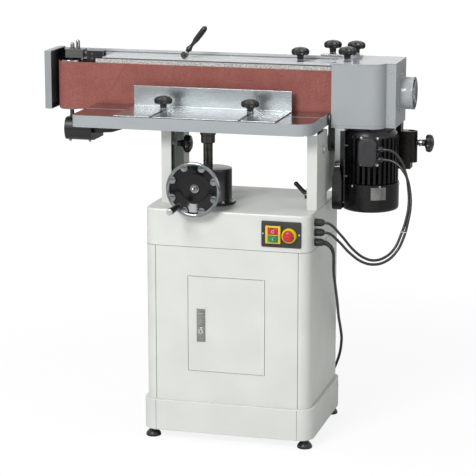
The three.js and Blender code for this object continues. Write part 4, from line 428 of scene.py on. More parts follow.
# Hard moulded rubber: near black with a polished mould's shine, and a little dust in its pores.
foot_rubber = clouded("vulcanised_rubber", "171717", 0.34, (9, "131313", "1d1d1c"), (2.5, 0.28, 0.44), 0.05)
# Zinc plate over turned steel: bright, faintly blue, with a fine grain that breaks up its highlights.
zinc, tree, shader, coords = begin("zinc_plated_steel", "c3c7c9", 0.28, 1.0)
lines = add(tree, "TexNoise", {"Vector": coords, "Scale": 700, "Detail": 1.0})
mottle(tree, shader, coords, "Base Color", 8, "b4b8bb", "cfd3d4")
relief(tree, shader, lines.outputs[0], 0.02)

FOOT_X, FOOT_FRONT, FOOT_REAR, FOOT_HIGH = 243, 24, 388, 28.7
FOOT = [(0, 0), (23.5, 0), (23.5, 4), (22.5, 9), (17, 16), (12, 20), (11.6, FOOT_HIGH)]
pad = np.concatenate([eased(FOOT, 2.5), [(0, FOOT_HIGH)]])
for name, x, y in (("foot_front_left", -FOOT_X, FOOT_FRONT), ("foot_front_right", FOOT_X, FOOT_FRONT),
                   ("foot_rear_left", -FOOT_X, FOOT_REAR), ("foot_rear_right", FOOT_X, FOOT_REAR)):
    skin(name + "_pad", [turned(pad, (x, y, 0), sides=48)], foot_rubber, "stand", (name,))


# The door lock
#
# A pressed stainless plate screwed flush over a hole in the door, with a nickelled lock barrel that turns
# with a key and carries a flat cam behind the door. Matt black strips in the joints round the door and the
# panels are painted shade.

def slab(middle, width, height, rise, corner, axis="-y", ease=0.8, crown=0.0, steps=5):
    """A plate's surface: a rectangle with arcs at its corners is drawn in by ease (1 - cos t) while it rises
    by ease sin t, and closes in the middle, which stands `crown` above the rim."""
    u, v, w = AXES[axis]
    t = np.linspace(0, np.pi / 2, 4)
    inset = np.concatenate([[0, 0], ease * (1 - np.cos(t))])
    lift = np.concatenate([[0, 0], rise - ease + ease * np.sin(t)])
    arc = (np.arange(4)[:, None] * 90 + np.linspace(0, 90, steps)[None, :]) * np.pi / 180
    side = np.array([(1, 1), (-1, 1), (-1, -1), (1, -1)])[:, None, :]
    half_size = np.array((width, height)) / 2
    rows = []
    for k, (gap, up) in enumerate(zip(inset, lift)):
        radius = max(corner - gap, 0.05)
        spot = side * (half_size - gap - radius) + radius * np.stack([np.cos(arc), np.sin(arc)], -1)
        rows.append(np.concatenate([spot.reshape(-1, 2) * (k > 0), np.full((4 * steps, 1), up)], 1))
    inner = rows[-1] * (0.6, 0.6, 1) + (0, 0, crown * 0.7)
    rows += [inner, rows[-1] * (0, 0, 1) + (0, 0, crown)]
    flat = np.array(rows)
    return np.asarray(middle, float) + flat[..., :1] * u + flat[..., 1:2] * v + flat[..., 2:] * w


def bolt(place, axis, radius, rise, kind="hex"):
    """A screw head's surfaces on a washer: `hex` has six flats and a chamfer, `socket` a round head with a
    six-sided well, and `pan` a domed head with a square well."""
    thick, wide = radius * 0.18, radius * 1.45
    washer = turned([(0, 0), (wide, 0), (wide, thick), (0, thick)], place, axis, 24)
    top = thick + rise
    if kind == "hex":
        head = [(0, 0.01, 1), (radius, 0.01, 1), (radius, top - radius * 0.2, 1), (radius * 0.86, top, 0),
                (0, top, 0)]
        return [washer, turned(head, place, axis, 24, edges=6)]
    well = (radius * 0.5, 6) if kind == "socket" else (radius * 0.34, 4)
    crown = [(radius, top * 0.85), (radius * 0.9, top)]
    if kind == "pan":
        crown = [(radius * 0.93, top * 0.55), (radius * 0.7, top * 0.88)]
    rows = [(0, 0.01, 0), (radius, 0.01, 0)] + [(*row, 0) for row in crown]
    rows += [(well[0] * 1.2, top, 0), (well[0], top, 1), (well[0], top * 0.45, 1), (0, top * 0.45, 1)]
    return [washer, turned(rows, place, axis, 24, edges=well[1])]


def bolts(name, places, axis, radius, rise, kind, body, finish=zinc):
    """Equal bolts at several places, as one piece."""
    heads = [part for place in places for part in bolt(place, axis, radius, rise, kind)]
    skin(name, heads, finish, body)


# Brushed stainless: satin along its height, because the brushing draws each highlight out sideways.
stainless, tree, shader, coords = begin("brushed_stainless", "949593", 0.3, 1.0)
stretch = add(tree, "Mapping", {"Vector": coords, "Scale": (1, 1, 0.04)})
brushing = add(tree, "TexNoise", {"Vector": stretch.outputs[0], "Scale": 2200, "Detail": 1.0})
mottle(tree, shader, coords, "Base Color", 30, "868785", "9fa09e")
relief(tree, shader, brushing.outputs[0], 0.015)
# Nickel plate: warm and bright, with a soft cloud of handling in its gloss.
nickel = clouded("nickel_plate", "c9c6bf", 0.2, None, (5, 0.15, 0.3), 0.01, 1.0)

LOCK_X, LOCK_Z, LOCK_FACE, PLATE_LOW, PLATE_HIGH = -80, 354, -2.6, 320, 425
plate_middle = (LOCK_X, -2.0, (PLATE_LOW + PLATE_HIGH) / 2)
ring = [(9.2, 0), (12.4, 0), (12.4, 1.4), (10.8, 2.2), (9.2, 2.2), (9.2, 0)]
skin("door_lock_plate", [slab(plate_middle, 27.6, PLATE_HIGH - PLATE_LOW - 0.4, 0.7, 1.5, ease=0.5),
                         slab((LOCK_X, LOCK_FACE, 389), 17, 42, 1.0, 2.5, ease=0.7, crown=0.3),
                         turned(ring, (LOCK_X, LOCK_FACE, LOCK_Z), "-y", 40),
                         *bolt((LOCK_X, LOCK_FACE, PLATE_LOW + 9), "-y", 2.4, 1.2, "pan"),
                         *bolt((LOCK_X, LOCK_FACE, PLATE_HIGH - 8), "-y", 2.4, 1.2, "pan")],
     stainless, "door")
copied("door_lock", nickel, 32, 0.3)

# Painted shade in the joints: matt black strips that sit back in the joints round the panels, the head and
# the door, and draw the shade in them as dark lines.
joint_shade = clouded("painted_joint_shade", "1c1c1b", 0.7, (6, "171716", "252524"), (3, 0.62, 0.8), 0.05)
SEAM = 224.5
joints = [slab((side * SEAM, y, z), width, height, rise, 0.3, ease=ease)
          for y, z, width, height, rise, ease in ((0.98, 372, 1.5, 488, 0.4, 0.1),
                                                  (-9.96, 78, 1.0, 95, 0.1, 0.02)) for side in (-1, 1)]
skin("panel_joints", joints, joint_shade, "stand")
# The ring of painted shade between cabinet and head is the outermost row of a plate, taken at five sizes and
# heights that close on themselves.
rims = [slab((0, 206, z), 520 + grow, 412 + grow, 0.5, 35, "z", steps=21)[1]
        for grow, z in ((0.16, 616.3), (0.16, 617.4), (-4, 617.4), (-4, 616.3), (0.16, 616.3))]
skin("head_joint", [np.array(rims)], joint_shade, "stand")
# Painted shade in the door's joint: strips down its left side and along its top and bottom.
DOOR_LEFT, DOOR_RIGHT, DOOR_LOW, DOOR_HIGH, DOOR_SHADE_WIDE = -121, 120, 227, 525, 1.5
door_shade_strips = [slab((DOOR_LEFT - 0.8, 5.0, (DOOR_LOW + DOOR_HIGH) / 2), DOOR_SHADE_WIDE, DOOR_HIGH - DOOR_LOW + 3, 2.6, 0.3,
               ease=0.2)]
door_shade_strips += [slab(((DOOR_LEFT + DOOR_RIGHT) / 2, 5.0, z), DOOR_RIGHT - DOOR_LEFT, DOOR_SHADE_WIDE, 2.6, 0.3, ease=0.2)
           for z in (DOOR_LOW - 0.8, DOOR_HIGH + 0.8)]
skin("door_joint_shade", door_shade_strips, joint_shade, "stand")


# The controls
#
# A black painted plate screwed to the cabinet's head, a yellow ABS switch frame with a green and a red
# push-button, and a red mushroom button that latches in its own yellow collar.

def moulded(name, colour, worn, roughness, grain_mm=1.4, depth_mm=0.008):
    """Injection-moulded plastic: even, with the fine spark-eroded grain of its mould, grain_mm across."""
    material, tree, shader, coords = begin(name, colour, roughness)
    mottle(tree, shader, coords, "Base Color", 25, colour, worn)
    mottle(tree, shader, coords, "Roughness", 12, roughness - 0.05, roughness + 0.07)
    grain = add(tree, "TexNoise", {"Vector": coords, "Scale": 1000 / grain_mm, "Detail": 2.0})
    relief(tree, shader, grain.outputs[0], depth_mm)
    return material


# Textured black paint on a steel plate, matt beside the glossy buttons.
panel_paint = sprayed("textured_black_paint", "2c2c2d", "353536", 0.5, 1.6, 0.12)
# Yellow ABS: saturated, with a soft moulded gloss.
yellow_abs = moulded("yellow_abs", "f2c83c", "eabd30", 0.38)
# The collar is dyed a greener, brighter yellow than the frame.
lemon_abs = moulded("lemon_abs", "eedb14", "e4d00e", 0.34)
# Clear-coated polycarbonate buttons: strong colour under a wet highlight.
green_button = moulded("green_polycarbonate", "16915a", "128450", 0.24)
red_button = moulded("red_polycarbonate", "cf2f3a", "bd2530", 0.24)
# White printing on the buttons, a thin film with a dull gloss.
white_print = moulded("white_print", "d3d6d0", "c8cbc5", 0.5, 0.6, 0.02)

PANEL_FACE = -4
skin("control_panel", [slab((172, -0.3, 671.75), 123, 79.5, 3.7, 4)], panel_paint, "stand",
     ("control_plate",))
bolts("control_panel_screws", [(x, PANEL_FACE, 673) for x in (115.7, 227.8)], "-y", 1.8, 1.2, "pan", "stand")
SWITCH_X, SWITCH_Z, START_Z, STOP_Z, SIDE_X, CAP_FACE = 148.25, 671.5, 658.5, 682, 19.4, -15.8
# The walls round and between the two wells: how far from the switch's middle, at which height, how wide and
# how tall.
WELL_WALLS = ((-SIDE_X, SWITCH_Z, 7.6, 54), (SIDE_X, SWITCH_Z, 7.6, 54), (0, 646.3, 33, 3.6),
              (0, 670.2, 33, 3.0), (0, 695.4, 33, 6.2))
well_walls = [slab((SWITCH_X + x, PANEL_FACE, z), wide, tall, 9, 1.2, ease=0.9)
              for x, z, wide, tall in WELL_WALLS]
skin("switch_frame", [*well_walls, slab((SWITCH_X, PANEL_FACE, SWITCH_Z), 46, 54, 3.2, 3, ease=0.5)],
     yellow_abs, "stand")
skin("switch_wells", [slab((SWITCH_X, -7.1, SWITCH_Z), 31.4, 48, 0.6, 0.5, ease=0.2)], panel_paint, "stand")
bolts("switch_frame_screws", [(SWITCH_X + x, -13, 670.4) for x in (-SIDE_X, SIDE_X)], "-y", 1.4, 0.8, "pan",
      "stand")
for name, finish, slot, body, z in (("button_start", green_button, "green", "start", START_Z),
                                    ("button_stop", red_button, "red", "stop", STOP_Z)):
    skin(name + "_cap", [slab((SWITCH_X, -11, z), 28, 17.6, 4.3, 1.6, ease=1.2, crown=0.7)], finish, body,
         (name,))
bar = slab((SWITCH_X, CAP_FACE, START_Z), 1.6, 8, 0.6, 0.7, ease=0.2)
skin("start_mark", [bar], white_print, "start")
ring = [(3.2, 0), (4.5, 0), (4.5, 0.6), (3.2, 0.6), (3.2, 0)]
skin("stop_mark", [turned(ring, (SWITCH_X, CAP_FACE, STOP_Z), "-y", 36)], white_print, "stop")

ESTOP = (197.3, 0, 670)
COLLAR = [(0, 4), (23, 4), (23, 6), (21.6, 13.6), (20, 15), (17.6, 15), (17.6, 12), (12.5, 11.6), (12.5, 5),
          (0, 5)]
skin("estop_collar", [turned(eased(COLLAR, 0.8), ESTOP, "-y", 64)], lemon_abs, "stand")
MUSHROOM = [(0, 10), (9, 10), (9, 17), (15.6, 17), (16.5, 18.4), (16.5, 23), (15, 27.2), (10, 29.4), (0, 30)]
skin("estop_mushroom", [turned(eased(MUSHROOM, 2.2), ESTOP, "-y", 64)], red_button, "estop",
     ("estop_button",))
# Two arrows moulded round the crown show which way the button is turned to let it out.
ARROW_START, ARROW_SWEEP, ARROW_RADIUS, CROWN_FACE = 0.35, 1.9, 11.2, -28.6
arrows = []
for start in (ARROW_START, ARROW_START + np.pi):
    sweep = start + np.linspace(0, ARROW_SWEEP, 15)
    wide = np.concatenate([np.full(11, 0.8), np.linspace(2.4, 0.05, 4)])
    line = []
    for side, lift in ((-1, -0.6), (-1, 0.9), (1, 0.4), (1, -1.2)):
        away = ARROW_RADIUS + side * wide
        line.append(np.stack([away * np.cos(sweep), np.full(15, CROWN_FACE - lift), away * np.sin(sweep)], 1))
    grid = np.stack(line, 1) + ESTOP
    middle = grid.mean(1, keepdims=True)
    arrows.append(np.concatenate([np.repeat(middle[:1], 4, 1), grid, np.repeat(middle[-1:], 4, 1)]))
skin("estop_arrows", arrows, red_button, "estop")


# The cable glands
#
# Moulded nylon glands through the cabinet's right side: a hexagon, a ribbed dome nut and the sheath's rubber
# seal. The mains lead leaves its own through a tapered rubber sleeve that keeps it from kinking.

black_nylon = moulded("black_nylon", "19191a", "212122", 0.34)
GLAND_FORM = [(0, 0, 1), (12.5, 0, 1), (12.5, 7.2, 1), (11.9, 8, 0), (10.6, 8.1, 0), (11, 9.5, 0),
              (11, 20, 0), (10.4, 23.5, 0), (7.6, 28.6, 0), (5.6, 29, 0), (5.4, 24, 0), (0, 24, 0)]
GLAND_RIBS = [(0, 9.2), (11.9, 9.2), (11.9, 19), (11, 20.4), (0, 20.4)]
for name, z in (("gland_motor_upper", UPPER_Z), ("gland_motor_lower", LOWER_Z), ("gland_mains", LEAD_Z)):
    foot = (WALL_X, GLAND_Y, z)
    skin(name + "_nut", [turned(GLAND_FORM, foot, "x", 48, edges=6),
                         turned(GLAND_RIBS, foot, "x", 48, lobes=12, depth=0.07)],
         black_nylon, "stand", (name,))


def swept(line, radii, sides):
    """A tube's surface: a circle of each listed radius stands across the line, on axes made from its
    direction and the vertical."""
    line = np.asarray(line, float)
    ahead = np.gradient(line, axis=0)
    ahead /= np.linalg.norm(ahead, axis=1, keepdims=True)
    across = np.cross(ahead, (0.02, 0.03, 1.0))
    across /= np.linalg.norm(across, axis=1, keepdims=True)
    up = np.cross(across, ahead)
    angle = np.linspace(0, 2 * np.pi, sides, endpoint=False)[None, :, None]
    out = np.cos(angle) * across[:, None] + np.sin(angle) * up[:, None]
    grid = line[:, None] + np.asarray(radii, float)[:, None, None] * out
    ends = [np.repeat(line[k][None, None], sides, 1) for k in (0, -1)]
    return np.concatenate([ends[0], grid, ends[1]])


bend = np.array(LEADWAY[:5], float)
along = np.concatenate([[0], np.cumsum(np.linalg.norm(np.diff(bend, axis=0), axis=1))])
reach = np.linspace(0, along[-1], 29)
sleeve_line = np.stack([np.interp(reach, along, bend[:, k]) for k in range(3)], 1)
sleeve_radii = 8.2 - 2.9 * (reach / reach[-1]) ** 0.8 - 0.7 * (np.arange(29) % 2) * (reach > 6)
skin("mains_strain_relief", [swept(sleeve_line, sleeve_radii, 24)], foot_rubber, "stand")


# The uprights
#
# Two folded steel channels bolted to the head, coated with the cabinet, each with a welded bracket for the
# tilt pivot. Zinc-plated bolts hold the guide bars and the pivots.

for node in ("upright_left", "upright_right"):
    copied(node, white_coat, 32, 0.8)
# The guide bars' clamps and the head's pivots: y and z of their axes.
GUIDE, PIVOT = (165, 906), (345, 950)
HEADS = [bolt(place, axis, radius, rise) for place, axis, radius, rise in (
    ((-232.5, *GUIDE), "-x", 8.5, 5.5), ((262, *GUIDE), "x", 8.5, 5.5),
    ((-240.7, *PIVOT), "-x", 10, 6.5), ((270.2, *PIVOT), "x", 10, 6.5))]
skin("upright_bolts", [part for head in HEADS for part in head], zinc, "stand")


# The lift
#
# A cast jack case in gloss black enamel, bolted to the cabinet's head, and a blackened steel column that it
# raises. The gear inside is turned by the handwheel's bevel pinion.

# Gloss black enamel over a casting: deep, with a faint ripple and dust that breaks the mirror.
black_gloss = sprayed("gloss_black_enamel", "161616", "1c1c1c", 0.2, 4.5, 0.012)
# Satin black paint on welded steel, with a little orange peel.
black_coat = sprayed("satin_black_paint", "1a1a1b", "222223", 0.34)
# Black oxide on turned steel: dark brown-grey metal with a soft sheen.
black_oxide = clouded("black_oxide_steel", "55524e", 0.3, (20, "484541", "605d59"), (4, 0.24, 0.38), 0.02,
                      0.9)

JACK_X, COLUMN_X, LIFT_Y = -76, -94, 133
# The case's rows, from the column's hole outwards, down and back inside: radius, height and the middle's x,
# because the column stands off the case's middle.
CASE = [(53, 841.2), (55.3, 840.6), (56.3, 839.2), (56.5, 837), (56.5, 742), (57.4, 740), (68, 739.8),
        (69, 738.8), (69, 731.8), (50, 731.8), (50, 836)]
rows = np.array([(15, 838, COLUMN_X), (15, 841.2, COLUMN_X), *((*row, JACK_X) for row in CASE),
                 (20, 838, COLUMN_X), (15, 838, COLUMN_X)])
turn = np.linspace(0, 2 * np.pi, 96, endpoint=False)
jack = np.stack([rows[:, 2:] + rows[:, :1] * np.cos(turn), LIFT_Y + rows[:, :1] * np.sin(turn),
                 np.repeat(rows[:, 1:2], 96, 1)], -1)
skin("jack_casting", [jack], black_gloss, "stand", ("jack_case",))
FLANGE_RADIUS, FLANGE_TOP = 62.5, 739.8
FLANGE_AT = [(JACK_X + FLANGE_RADIUS * np.cos(a), LIFT_Y + FLANGE_RADIUS * np.sin(a), FLANGE_TOP)
             for a in np.radians((-48, 42, 132, 222))]
bolts("jack_flange_screws", FLANGE_AT, "z", 4.2, 4, "socket", "stand")
COLUMN = [(0, 640), (14.7, 640), (14.7, 917), (19.6, 917), (21.8, 920), (21.8, 941), (24.5, 943), (24.5, 993),
          (0, 993)]
skin("lift_column_bar", [turned(eased(COLUMN, 1.2), (COLUMN_X, LIFT_Y, 0), sides=64)], black_oxide,
     nodes["lift_column"]["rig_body"], ("lift_column",))
bolts("collar_bolts", [(x, 148, 969) for x in (-136, -52)], "-z", 5, 10, "socket", "table", black_coat)
copied("lift_gear", zinc)


# The handwheel
#
# A cast wheel: its rim and eight finger grips are ground and chromed, its dished web is stove enamelled
# black, and a hex nut on the end of its shaft holds it. The crank grip turns on its own pin.

# Chrome on ground iron: it mirrors the studio, and polishing has left fine waves in it. Its colour is
# darkened as painted shade, standing in for the dark room that real chrome would mirror.
chrome = clouded("polished_chrome", "888b8e", 0.1, (26, "7b7f82", "94989a"), (12, 0.07, 0.16), 0.02, 1.0)
# Wet black stove enamel, which mirrors the chromed grips round it.
web_enamel = sprayed("black_stove_enamel", "0b0b0b", "101010", 0.14, 7, 0.01, Specular_IOR_Level=0.35)

WHEEL = (-94, -32, 801)
RIM_RADIUS, RIM_THICK, LOBES_AT = 79, 6.2, 70.5
ring_turn = np.linspace(0, 2 * np.pi, 25)
rim = np.stack([RIM_RADIUS + RIM_THICK * np.cos(ring_turn), RIM_THICK * np.sin(ring_turn)], 1)
LOBE = [(0, -8), (10, -8), (11.4, -7.2), (12, -5.6), (12, 3.2), (11.2, 4.4), (9.6, 4.9), (0, 5.2)]
lobes = [turned(LOBE, WHEEL + LOBES_AT * (np.cos(a) * X + np.sin(a) * Z), "-y", 40)
         for a in np.radians(22.5 + 45 * np.arange(8))]
skin("handwheel_rim", [turned(rim, WHEEL, "-y", 120), *lobes], chrome, "handwheel", ("handwheel",))
WEB = [(0, -16), (14, -16), (17.5, -15.6), (42, -16), (48, -14.6), (72.6, -1.5), (74.4, -4.6), (50, -19),
       (42, -21), (17, -21), (17, -50), (0, -50)]
skin("handwheel_web", [turned(eased(WEB, 3), WHEEL, "-y", 96)], web_enamel, "handwheel")
NUT = [(0, -16, 0), (13.4, -16, 0), (13.4, -13.8, 0), (10.9, -13.7, 1), (10.9, -5.6, 1), (9.6, -4, 0),
       (6, -4, 0)]
END = [(6, 2.4, 0), (5.2, 5, 0), (3, 6.4, 0), (0, 6.8, 0)]
skin("handwheel_nut", [turned(NUT + END, WHEEL, "-y", 48, edges=6)], chrome, "handwheel")
SHAFT = [(0, -49), (8, -49), (8, -137), (11, -137.2), (11, -139), (4, -148), (0, -148)]
skin("handwheel_shaft", [turned(SHAFT, WHEEL, "-y", 32)], zinc, "handwheel")

GRIP = (-139.3, -40.5, 748.9)
skin("crank_pin", [turned([(0, -8), (9.8, -8), (9.8, -1.6), (8.6, 0), (0, 0)], GRIP, "-y", 32)], chrome,
     "handwheel")
HANDLE = [(0, 0.3), (8.6, 0.3), (9.2, 3), (8.6, 7), (7.6, 10), (8.4, 26), (10, 60), (10.5, 68), (10.2, 80),
          (9.6, 85.5), (0, 85.5)]
grip_plastic = moulded("black_phenolic", "121213", "19191a", 0.24)
skin("crank_handle", [turned(eased(HANDLE, 2.5), GRIP, "-y", 48)], grip_plastic, "grip",
     ("crank_grip",))
GRIP_COLLAR = [(8.7, 0.6), (9.8, 0.6), (10, 4.6), (8.9, 7.6), (8.2, 7.6), (8.7, 0.6)]
skin("crank_collar", [turned(GRIP_COLLAR, GRIP, "-y", 48)], chrome, "grip")
CAP = [(0, 84), (9.4, 84), (9.5, 87), (9.2, 90.4), (7.6, 92), (0, 92.3)]
skin("crank_cap", [turned(eased(CAP, 1), GRIP, "-y", 48)], zinc, "grip")


# The table
#
# A ribbed grey-iron casting, enamelled grey, with its top and T-slot ground bright. It slides on two
# blackened guide bars that are clamped at the uprights by a star knob and a bent lever.

def masked(tree, coords, axis, limit, above=True):
    """1 where the Object coordinate along one axis (0, 1, 2) is past a limit in metres, else 0."""
    parts = add(tree, "SeparateXYZ", {0: coords})
    operation = "GREATER_THAN" if above else "LESS_THAN"
    return add(tree, "Math", {0: parts.outputs[axis], 1: limit}, operation=operation).outputs[0]


def both_of(tree, mask, one, other):
    """A colour or number that is `one` where the mask is 0 and `other` where it is 1."""
    mixed = add(tree, "Mix", data_type="RGBA")
    for slot, value in ((0, mask), (6, one), (7, other)):
        if isinstance(value, bpy.types.NodeSocket):
            tree.links.new(value, mixed.inputs[slot])
        else:
            mixed.inputs[slot].default_value = value
    return mixed.outputs[2]


def arched(centre, section, start, stop, steps):
    """A curved strip's surface: the section's points (r, z) stand at centre + r (cos a, sin a), from angle
    start to stop in degrees."""
    turn = np.radians(np.linspace(start, stop, steps))
    face = np.array([[(centre[0] + r * np.cos(a), centre[1] + r * np.sin(a), z) for a in turn]
                     for r, z in section])
    ends = [np.repeat(face[:, k:k + 1].mean(0, keepdims=True), len(face), 0) for k in (0, -1)]
    return np.concatenate([ends[0], face, ends[1]], 1)


# Grey enamel on the casting's sides, black on the guide bars, and a ground top: cool metal with grinding
# lines along it and a soft mirror. The heights are in metres.
GROUND_FROM, BARS_UP_TO = 1.0055, 0.9688
table_iron, tree, shader, coords = begin("enamelled_and_ground_iron", "a7adb1", 0.3)
top_mask = masked(tree, coords, 2, GROUND_FROM)
bars_mask = masked(tree, coords, 2, BARS_UP_TO, False)
clouds = add(tree, "TexNoise", {"Vector": coords, "Scale": 9, "Detail": 4.0})
stretch = add(tree, "Mapping", {"Vector": coords, "Scale": (1, 14, 1)})
grinding = add(tree, "TexNoise", {"Vector": stretch.outputs[0], "Scale": 160, "Detail": 3.0})
ground_tone = both_of(tree, clouds.outputs[0], linear("a9adb0"), linear("bcc0c3"))
paint_tone = both_of(tree, clouds.outputs[0], linear("a3a9ad"), linear("abb1b4"))
paint_tone = both_of(tree, bars_mask, paint_tone, linear("232324"))
tree.links.new(both_of(tree, top_mask, paint_tone, ground_tone), shader.inputs["Base Color"])
tree.links.new(top_mask, shader.inputs["Metallic"])
gloss = add(tree, "MapRange", {"Value": grinding.outputs[0], "From Min": 0.3, "From Max": 0.7, "To Min": 0.1,
                               "To Max": 0.2})
shine = add(tree, "MapRange", {"Value": top_mask, "To Min": 0.32, "To Max": 0.0})
tree.links.new(add(tree, "Math", {0: gloss.outputs[0], 1: shine.outputs[0]}, operation="ADD").outputs[0],
               shader.inputs["Roughness"])
relief(tree, shader, grinding.outputs[0], 0.008)
copied("table", table_iron, 32)
# The casting's rounded front right corner is filled where the pocket between the ribs under the table comes
# through it.
TABLE_CORNER = (208, 59)
CORNER_FILL = [(47, 971.2), (50.05, 971.2), (50.05, 992), (47, 992), (47, 971.2)]
skin("table_corner_fill", [arched(TABLE_CORNER, CORNER_FILL, -68, -40, 15)], table_iron, "table",
     around=False)

KNOB = [(0, 8.6), (10.6, 8.6), (10.2, 12), (10.8, 18.6), (14, 20.4), (22.5, 20.2), (27, 23.2), (29, 30),
        (28, 36.4), (23.5, 40.6), (14, 43.8), (6, 44.8), (0, 45)]
# The lobes fade in with the radius, so that the knob's stem stays round.
KNOB_LOBED = eased(np.column_stack([KNOB, np.interp([row[0] for row in KNOB], (10, 16), (0, 1))]), 1.6)
KNOB_FLUTES = [(0, 9), (10.9, 9), (10.5, 17.4), (0, 17.4)]
KNOB_BUTTON = [(0, 44.7), (7.4, 44.7), (7, 45), (0, 45)]
KNOB_SEAT = [(0, 0), (12.6, 0), (12.6, 1.2), (11.6, 2), (9.8, 2.2), (9.8, 8.4), (0, 8.8)]
# Moulded duroplast: the deepest black of the knobs, with a hard gloss that catches the lamps on every lobe.
knob_plastic = moulded("black_duroplast", "111112", "161617", 0.15)


def star_knob(name, node, place, axis="z"):
    """A seven-lobed knob over its CAD node: a moulded head on a fluted stem, with a chromed seat under it."""
    body = nodes[node]["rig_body"]
    skin(name, [turned(KNOB_LOBED, place, axis, 84, lobes=7, depth=0.16),
                turned(KNOB_FLUTES, place, axis, 72, lobes=12, depth=0.12),
                turned(KNOB_BUTTON, place, axis, 32)], knob_plastic, body, (node,))
    skin(name + "_seat", [turned(KNOB_SEAT, place, axis, 40)], chrome, body)


star_knob("guide_star_knob", "guide_knob_left", (-198.7, *GUIDE), "x")
copied("guide_lever_right", knob_plastic, 40)


# The fence
#
# One folded 3 mm plate of bright zinc-plated steel with two open slots. Two star knobs clamp it to the table
# by studs in the T-slot.

# Bright zinc plate on rolled sheet: pale and cool, with the mill's fine lines along the fence.
bright_sheet, tree, shader, coords = begin("bright_zinc_sheet", "b6bbbd", 0.24, 0.92)
stretch = add(tree, "Mapping", {"Vector": coords, "Scale": (0.05, 1, 1)})
mill = add(tree, "TexNoise", {"Vector": stretch.outputs[0], "Scale": 900, "Detail": 2.0})
mottle(tree, shader, coords, "Base Color", 160, "b2b7b9", "babfc1")
mottle(tree, shader, coords, "Roughness", 90, 0.21, 0.27)
relief(tree, shader, mill.outputs[0], 0.002)
copied("fence", bright_sheet, 32, 0.7)
T_SLOT_Y, FENCE_TOP = 148, 1009.6
SLOT_STUD = [(0, -8), (4, -8), (4, 0.5), (0, 0.5)]
for name, node, x in (("fence_star_knob_left", "fence_knob_left", -241),
                      ("fence_star_knob_right", "fence_knob_right", 36)):
    seat = (x, T_SLOT_Y, FENCE_TOP)
    star_knob(name, node, seat)
    skin(name + "_stud", [turned(SLOT_STUD, seat, "z", 24)], zinc, nodes[node]["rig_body"])


# The sanding head
#
# A welded beam between the belt's two runs, painted black, hung on two arms so that the whole head tilts. A
# straight platen stands on it, faced with graphite-coated canvas, and a folded tray and guard close it
# behind.

copied("head_frame", black_coat, 32, 0.8)
copied("tilt_wing_knob", knob_plastic, 40, 0.8)

# The right-hand arm ends in a quadrant of 5.5 mm plate that covers the bracket beside it.
QUADRANT = np.array([(231, 900), (231, 998), (236, 1004), (250, 1004), (256, 998), (256, 979), (290, 979),
                     (342, 960), (342, 938), (330, 924), (300, 905), (262, 888), (253, 886), (240, 889)],
                    float)
QUADRANT_IN, QUADRANT_OUT = 261.4, 266.9
heart = np.repeat([(248.0, 950.0)], len(QUADRANT), 0)
sheet = [np.column_stack([np.full(len(QUADRANT), x), outline])
         for x, outline in ((QUADRANT_IN, heart), (QUADRANT_IN, QUADRANT), (QUADRANT_OUT, QUADRANT),
                            (QUADRANT_OUT, heart))]
skin("tilt_quadrant", [np.array(sheet)], black_coat, "head", sharp=40)

# Graphite-coated canvas: pale grey weave, 0.9 mm a thread and drawn at 3 mm, with dark graphite rubbed off
# its crowns.
canvas, tree, shader, coords = begin("graphite_canvas", "b4b4b1", 0.72)
threads = [add(tree, "TexWave", {"Vector": coords, "Scale": 100, "Distortion": 0.6},
               bands_direction=way).outputs[0] for way in ("X", "Z")]
weave = add(tree, "Math", {0: threads[0], 1: threads[1]}, operation="MULTIPLY")
speck = add(tree, "TexNoise", {"Vector": coords, "Scale": 330, "Detail": 2.0})
worn = add(tree, "MapRange", {"Value": speck.outputs[0], "From Min": 0.4, "From Max": 0.62})
tone = both_of(tree, worn.outputs[0], linear("8f8e8b"), linear("dcdbd8"))
tree.links.new(both_of(tree, weave.outputs[0], tone, linear("c4c3bf")), shader.inputs["Base Color"])
relief(tree, shader, weave.outputs[0], 0.25)
copied("platen", canvas, 32, 0.5)

# Light grey enamel on the folded guard, with a satin gloss that picks up the ribs of its tray.
light_coat = sprayed("light_grey_enamel", "cbced0", "c8cbcd", 0.16, 2.6, 0.004)
copied("rear_guard", light_coat, 32, 0.8)

# Grey enamel outside; inside the cover the black primer shows, so the colour changes within its four walls.
INSIDE = ((0, -0.6145, -0.5948), (1, 0.1069, 0.2389), (2, 0.9825, 1.1635))
cover_coat, tree, shader, coords = begin("grey_enamel_black_inside", "a9afb3", 0.34)
inside = 1.0
for axis, low, high in INSIDE:
    for limit, above in ((low, True), (high, False)):
        inside = add(tree, "Math", {0: inside, 1: masked(tree, coords, axis, limit, above)},
                     operation="MULTIPLY").outputs[0]
clouds = add(tree, "TexNoise", {"Vector": coords, "Scale": 9, "Detail": 3.0})
outside_tone = both_of(tree, clouds.outputs[0], linear("979ca0"), linear("a0a5a8"))
tree.links.new(both_of(tree, inside, outside_tone, linear("121211")), shader.inputs["Base Color"])
peel = add(tree, "TexNoise", {"Vector": coords, "Scale": 400, "Detail": 1.0})
relief(tree, shader, peel.outputs[0], 0.04)
copied("end_cover", cover_coat, 32, 0.6)

star_knob("tray_star_knob", "knob_tray", (151, 322, 1152.3))
bolts("tray_fixings", [(x, 388, 1152) for x in (-380, -90, 235)], "z", 2.8, 1.8, "pan", "head")


# The belt
#
# Cloth-backed aluminium oxide, 150 mm wide and 1.5 mm thick, joined by a slanting splice. It lies round the
# drive drum and the idler roller. A rigid band can't run, so it only rises and sinks with the idler.

BELT_FRONT, BELT_LOW, BELT_HIGH, BELT_THICK = 262, 984, 1134, 1.5
IDLER = np.array((-595, 301.5))
DRUM = np.array((378.5, 319.5))
IDLER_OUT, DRUM_OUT, ARC_STEPS = 39.5, 57.5, 40


